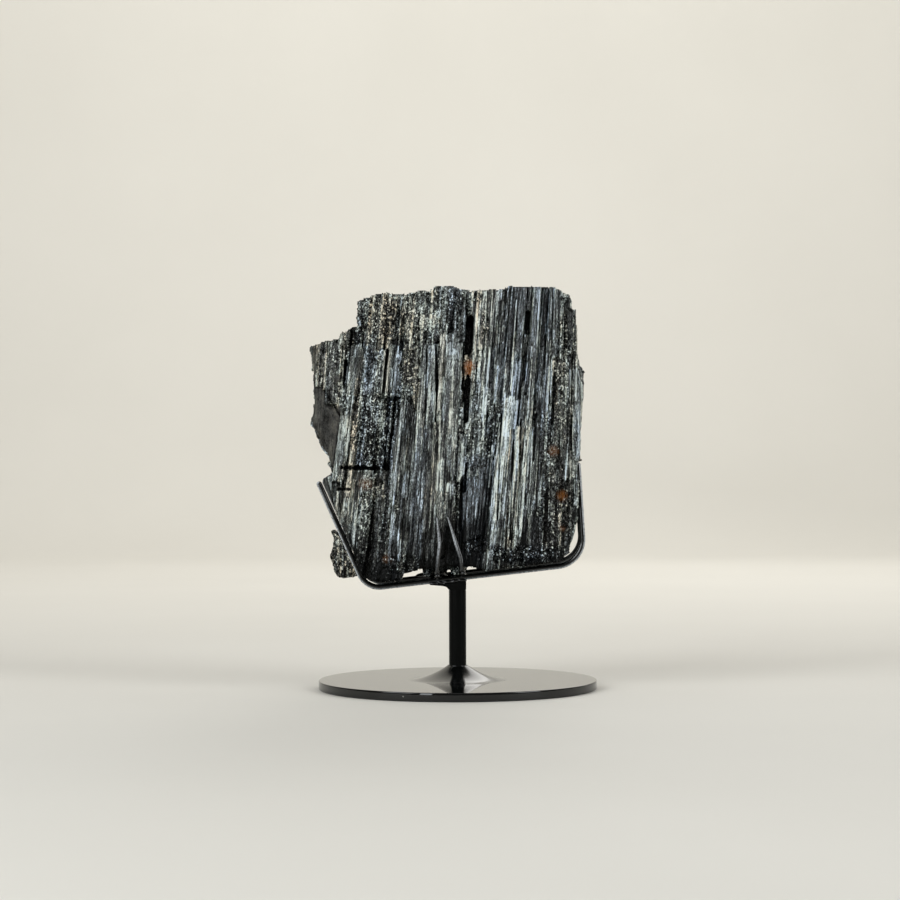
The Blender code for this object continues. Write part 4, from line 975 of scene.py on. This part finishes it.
def turned(profile, steps=160):
    """Spins a closed (radius, z) profile in mm about the stem's axis."""
    made = bmesh.new()
    points = [made.verts.new((r / 1000, 0, z / 1000)) for r, z in profile]
    edges = [made.edges.new(pair) for pair in zip(points, points[1:] + points[:1])]
    turn = {"cent": (0, 0, 0), "axis": (0, 0, 1), "angle": 2 * math.pi, "steps": steps}
    bmesh.ops.spin(made, geom=points + edges, use_merge=True, **turn)
    bmesh.ops.remove_doubles(made, verts=made.verts, dist=1e-6)
    bmesh.ops.dissolve_degenerate(made, edges=made.edges, dist=1e-7)
    return made


def quarter(centre_r, centre_z, radius, start, steps=5):
    """Points of a rounded edge, a quarter turn from the start angle in degrees."""
    angles = [math.radians(start + 90 * i / steps) for i in range(steps + 1)]
    return [(centre_r + radius * math.cos(a), centre_z + radius * math.sin(a)) for a in angles]


BASE_RADIUS, BASE_THICKNESS, BASE_EDGE = 101.55, 6.35, 0.7
DISC_LACQUER = lacquer("lacquer_on_disc", 0.06, 0.8)
flat_to, top = BASE_RADIUS - BASE_EDGE, BASE_THICKNESS
disc_profile = [(0, 0), (flat_to - 0.1, 0), *quarter(flat_to, BASE_EDGE, BASE_EDGE, -90)]
disc_profile += [*quarter(flat_to, top - BASE_EDGE, BASE_EDGE, 0), (flat_to - 0.1, top), (0, top)]
steel_piece("disc", turned(disc_profile, 240), DISC_LACQUER, ["base_disc"])

# ------------------------------------------------------------ flared collar
# A collar turned from steel, hollow-sided like a trumpet's bell, slides down over the stem and spreads
# it into the disc. It has a coat of lacquer of its own, a little rougher than the disc's.
COLLAR_FOOT, COLLAR_BORE, COLLAR_TOP, COLLAR_LIP, LIP_EDGE = 36.0, 6.35, 17.0, 7.4, 0.4
COLLAR_LACQUER = lacquer("lacquer_on_collar", 0.2, 0.4)
foot, rise = BASE_THICKNESS + 0.01, COLLAR_TOP - LIP_EDGE - BASE_THICKNESS
bell = [(COLLAR_FOOT - (COLLAR_FOOT - COLLAR_LIP) * t, foot + rise * t**1.75) for t in np.linspace(0, 1, 24)]
lip = quarter(COLLAR_LIP - LIP_EDGE, COLLAR_TOP - LIP_EDGE, LIP_EDGE, 0)[1:]
collar_foot = [(COLLAR_BORE, BASE_THICKNESS), (COLLAR_FOOT, BASE_THICKNESS)]
collar_profile = [*collar_foot, *bell, *lip, (COLLAR_BORE, COLLAR_TOP)]
steel_piece("collar", turned(collar_profile), COLLAR_LACQUER, ["flare_collar"])

# ------------------------------------------------------------ stem
# A length of half-inch round steel bar is welded upright on the middle of the disc and carries the head
# plate. Its lacquer shines the least.
STEM_RADIUS, STEM_TOP = 6.3, 72.8
STEM_LACQUER = lacquer("lacquer_on_stem", 0.12, 0.1, gloss=0.05)
stem_profile = [(0, BASE_THICKNESS), (STEM_RADIUS, BASE_THICKNESS), (STEM_RADIUS, STEM_TOP), (0, STEM_TOP)]
steel_piece("stem_rod", turned(stem_profile), STEM_LACQUER, ["stem"])

# ------------------------------------------------------------ head plate
# A short flat steel bar is welded across the stem's top, from front to back, and filed to the slope of
# the cradle, so that both rods lie on it.
HEAD_LEFT, HEAD_RIGHT, HEAD_HALF_DEPTH = -20, 6.2, 29.5
UNDER_ROD, THIN_END, HEAD_BOTTOM = 2.1, 0.5, 73.4
left_z, right_z = bar_height(HEAD_LEFT) - UNDER_ROD, bar_height(HEAD_RIGHT) - UNDER_ROD
head_outline = [
    (HEAD_LEFT, left_z), (HEAD_LEFT, left_z - THIN_END), (-9.3, 76), (-7.4, 75), (-6.4, HEAD_BOTTOM),
    (HEAD_RIGHT, HEAD_BOTTOM), (HEAD_RIGHT, right_z),
]
made = bmesh.new()
corners = [made.verts.new((x / 1000, -HEAD_HALF_DEPTH / 1000, z / 1000)) for x, z in head_outline]
pulled = bmesh.ops.extrude_face_region(made, geom=[made.faces.new(corners)])["geom"]
moved = [v for v in pulled if isinstance(v, bmesh.types.BMVert)]
bmesh.ops.translate(made, vec=(0, 2 * HEAD_HALF_DEPTH / 1000, 0), verts=moved)
bmesh.ops.bevel(made, geom=made.edges[:], offset=0.0005, segments=2, affect="EDGES")
steel_piece("head_bar", made, STEM_LACQUER, ["head_plate"])

# ------------------------------------------------------------ cradle rods
# Two 4 mm steel rods, each bent up at both ends into a wide U, lie across the head plate and are welded
# # to it. A painted highlight runs along their outer edge.
def rounded_path(corners, radii, steps):
    """Straight runs between corners, with an arc of its own radius at each inner corner."""
    corners = [Vector(c) for c in corners]
    path = [corners[0]]
    for before, corner, after, radius in zip(corners, corners[1:], corners[2:], radii):
        back_way, on_way = (before - corner).normalized(), (after - corner).normalized()
        half = back_way.angle(on_way) / 2
        centre = corner + (back_way + on_way).normalized() * radius / math.sin(half)
        start = corner + back_way * radius / math.tan(half) - centre
        end = corner + on_way * radius / math.tan(half) - centre
        axis = start.cross(end).normalized()
        for i in range(steps + 1):
            path.append(centre + Matrix.Rotation(start.angle(end) * i / steps, 3, axis) @ start)
    return path + [corners[-1]]


def round_rod(path, radius, sides=24, tapered=0):
    """A round rod in metres along points in mm, with domed ends. It thins over its last tapered mm."""
    made = bmesh.new()
    points = [Vector(p) for p in path]
    ways = [(b - a).normalized() for a, b in zip(points[:1] + points[:-1], points[1:] + points[-1:])]
    to_end = [(points[-1] - p).length for p in points]
    sizes = [radius * (min(1, 0.35 + 0.65 * left / tapered) if tapered else 1) for left in to_end]
    stations = list(zip(points, ways, sizes))
    dome = [(math.sin(math.radians(a)), math.cos(math.radians(a))) for a in (80, 62, 42, 20)]
    stations = [(points[0] - ways[0] * out * sizes[0], ways[0], r * sizes[0]) for out, r in dome] + stations
    tip, way, size = points[-1], ways[-1], sizes[-1]
    stations += [(tip + way * out * size, way, r * size) for out, r in reversed(dome)]
    normal, rings = ways[0].orthogonal().normalized(), []
    for centre, way, size in stations:
        normal = (normal - way * normal.dot(way)).normalized()
        side = way.cross(normal)
        turns = [2 * math.pi * k / sides for k in range(sides)]
        spokes = [normal * math.cos(turn) + side * math.sin(turn) for turn in turns]
        rings.append([made.verts.new((centre + spoke * size) / 1000) for spoke in spokes])
    for low, high in zip(rings, rings[1:]):
        for k in range(sides):
            made.faces.new((low[k], low[(k + 1) % sides], high[(k + 1) % sides], high[k]))
    made.faces.new(rings[0])
    made.faces.new(rings[-1])
    return made


ROD_RADIUS, ROD_Y, LEFT_LEAN, LEFT_TOP, RIGHT_LEAN, RIGHT_TOP = 2.0, 27, 24, 149.7, 3.5, 163
STAND_LACQUER = lacquer("lacquer_on_stand", 0.12, 0.15)


def arm_top(arm, lean, top):
    """The end of an arm that leans this many degrees to the left."""
    bend_x = arm[0]
    return (bend_x - math.tan(math.radians(lean)) * (top - bar_height(bend_x)), 0, top)


bends = [(arm[0], 0, bar_height(arm[0])) for arm in (LEFT_ARM, RIGHT_ARM)]
corners = (arm_top(LEFT_ARM, LEFT_LEAN, LEFT_TOP), *bends, arm_top(RIGHT_ARM, RIGHT_LEAN, RIGHT_TOP))
cradle = rounded_path(corners, (LEFT_ARM[2], RIGHT_ARM[2]), 16)


def painted_highlight_outside(share):
    """Painted highlight along the rod's outer edge, on the side that faces the viewer."""
    def highlight_at(p, n):
        outside = n.x * (p.x - 8) + n.z * (p.z - 150) > 0
        return share * outside * float(np.interp(n.y, (-0.93, -0.8, -0.2, 0), (0, 1, 1, 0)))
    return highlight_at


for end, shift, highlight_share in (
    ("front", Vector((0, -ROD_Y, 0)), 1.0), ("rear", Vector((REAR_SHIFT[0], ROD_Y, REAR_SHIFT[1])), 0.35),
):
    rod = round_rod([p + shift for p in cradle], ROD_RADIUS, 32)
    steel_piece(f"{end}_rod", rod, STAND_LACQUER, [f"{end}_cradle_rod"], 50, painted_highlight_outside(highlight_share))

# ------------------------------------------------------------ prongs
# Four thin steel rods are welded to the head plate, run out under the stone, and stand up against its
# front and back, so that it can't slide. Their tips are ground to a taper.
PRONG_RADIUS, PRONG_BENDS, PRONG_TAPER = 1.6, (6, 4.5, 12), 18
LEFT_PRONG = ((-7.5, 9, 80.9), (-11, 22, 84.4), (-15, 45.3, 84.4), (-12.4, 45.3, 107), (-14.6, 45.3, 126))
RIGHT_PRONG = ((4.5, 9, 82.4), (4.2, 22, 86.3), (3.6, 45.3, 86.3), (2.4, 45.3, 97), (-6.8, 45.3, 126))


def painted_highlight_on_prong(p, n):
    """Painted highlight on the outer side, most on the upper half."""
    facing = n.x * -0.5 + n.y * math.copysign(0.87, p.y)
    highlight_share = np.interp(p.z, (92, 101, 107, 124), (0.05, 0.25, 1, 0.9))
    return float(np.interp(facing, (0.7, 0.9), (0, 1)) * highlight_share)


for side, corners in (("left", LEFT_PRONG), ("right", RIGHT_PRONG)):
    path = rounded_path(corners, PRONG_BENDS, 8)
    for end, way, lift in (("front", -1, 0), ("rear", 1, REAR_SHIFT[1])):
        placed = [Vector((p.x, way * p.y, p.z + lift)) for p in path]
        placed[-1:] = [placed[-2].lerp(placed[-1], t) for t in (0.2, 0.4, 0.6, 0.8, 1)]
        wire = round_rod(placed, PRONG_RADIUS, tapered=PRONG_TAPER)
        steel_piece(f"{end}_{side}_wire", wire, STAND_LACQUER, [f"{end}_{side}_prong"], 50, painted_highlight_on_prong)

# ------------------------------------------------------------ welds
# Lumpy beads where the rods and prongs are welded to the head plate, lacquered over with the rest.
# Each bead: its middle in mm, then its half sizes along, across and up.
ALONG_RODS = ((-24.6, -1.6), (-29, -1.9), (24.4, -1.2))
beads = [(x, y, bar_height(x) + z, 3.2, 1.5, 1.3) for x in (-17, -12, -7, -2, 3) for y, z in ALONG_RODS]
beads += [(x, 10 * way, bar_height(x) - 0.4, 2.6, 4.0, 1.7) for x in (-7.6, 4.4) for way in (-1, 1)]
beads += [
    (-24.5, 27, 80.9, 8.0, 2.2, 2.6), (-20, 26.5, 82, 5.0, 2.4, 2.6), (-14.5, -45.2, 84.2, 2.1, 2.0, 1.9),
    (3.8, -45.2, 86.2, 2.1, 2.0, 1.9),
]
made, rng = bmesh.new(), np.random.default_rng(23)
for x, y, z, *radii in beads:
    sizes = np.array(radii) * rng.uniform(0.85, 1.15, 3) / 1000
    tipped = Matrix.Rotation(rng.normal(0, 0.12), 4, "Y") @ Matrix.Diagonal((*sizes, 1))
    placed = Matrix.Translation((x / 1000, y / 1000, z / 1000)) @ tipped
    bmesh.ops.create_icosphere(made, subdivisions=3, radius=1, matrix=placed)
steel_piece("weld_beads", made, STAND_LACQUER, [], 60)

# ------------------------------------------------------------ floor and backdrop
# A plain pale floor sweeps up into a plain pale wall, far behind, in one curve, so that nothing but the
# stone and its stand draws the eye.
material, shader, place = new_finish("pale_backdrop")
pale = colour_steps(mottled(place, 3.0, 4.0), (0.3, (0.70, 0.68, 0.625)), (0.7, (0.72, 0.70, 0.645)))
feed(shader, Base_Color=pale, Roughness=0.75)
WALL_AT, BEND, WALL_TOP, HALF_WIDTH = 3.2, 1, 4, 5
turns = np.linspace(0.05, math.pi / 2, 20)
curve = [(WALL_AT - BEND + math.sin(a), BEND - math.cos(a)) for a in turns]
made = bmesh.new()
rows = [
    [made.verts.new((x, y, z - 0.0002)) for x in (-HALF_WIDTH, HALF_WIDTH)]
    for y, z in ((-3.5, 0), (WALL_AT - BEND, 0), *curve, (WALL_AT, WALL_TOP))
]
for (a, b), (c, d) in zip(rows, rows[1:]):
    made.faces.new((a, b, d, c)).smooth = True
mesh = bpy.data.meshes.new("backdrop")
made.to_mesh(mesh)
made.free()
mesh.materials.append(material)
backdrop = put_in_scene("backdrop", mesh)
backdrop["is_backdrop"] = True

# ------------------------------------------------------------ light
# Soft daylight comes from large windows on both sides and a narrow one in front, under a broad soft
# ceiling light. Another light keeps the wall pale, and a faint one from behind picks out the edges.
def softbox(name, place, aim, width, height, power, colour):
    lamp = bpy.data.lights.new(name, "AREA")
    lamp.shape = "RECTANGLE"
    lamp.size, lamp.size_y, lamp.energy, lamp.color = width, height, power, colour
    thing = put_in_scene(name, lamp)
    thing.location = place
    thing.rotation_euler = (Vector(aim) - Vector(place)).to_track_quat("-Z", "Y").to_euler()


softbox("left_window", (-1.6, -1.3, 1.0), (0, 0, 0.18), 1.0, 1.4, 31, (0.96, 0.98, 1.0))
softbox("front_window", (-0.95, -2.0, 0.75), (0, 0, 0.15), 0.4, 1.5, 11, (0.92, 0.97, 1.0))
softbox("right_window", (1.7, -1.0, 0.8), (0, 0, 0.18), 0.8, 1.4, 24, (0.97, 0.99, 1.0))
softbox("ceiling", (0, -0.6, 2.2), (0, 0, 0.1), 2.0, 2.0, 8, (1, 0.985, 0.96))
softbox("wall_wash", (0, 0.9, 2.8), (0, 3.2, 1.7), 3.5, 0.8, 76, (1, 0.985, 0.95))
softbox("back_fill", (0.6, 1.9, 1.3), (0, 0, 0.18), 1.2, 1.0, 8, (1, 0.99, 0.97))
ROOM_LIGHT, ROOM_SEEN = 0.12, 0.8
world = bpy.data.worlds.new("room")
world.use_nodes = True
seen = node(world.node_tree, "LightPath").outputs["Is Camera Ray"]
strength = ranged(seen, 0.0, 1.0, ROOM_LIGHT, ROOM_SEEN)
feed(world.node_tree.nodes["Background"], Color=(0.90, 0.88, 0.82, 1), Strength=strength)
bpy.context.scene.world = world
bpy.context.scene.view_settings.view_transform = "Standard"

# ------------------------------------------------------------ camera
# Level, about as high as the stone's middle and 1.8 m away, with a long lens, so that the stone's sides
# hardly show.
CAMERA_PLACE, LEVEL, ROLL = (-0.0052, -1.795, 0.174), 90, 0.15
lens = bpy.data.cameras.new("camera")
lens.sensor_width, lens.lens = 36, 98.24
camera = put_in_scene("camera", lens)
camera.location = CAMERA_PLACE
camera.rotation_euler = (math.radians(LEVEL), math.radians(ROLL), 0)
bpy.context.scene.camera = camera

low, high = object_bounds()
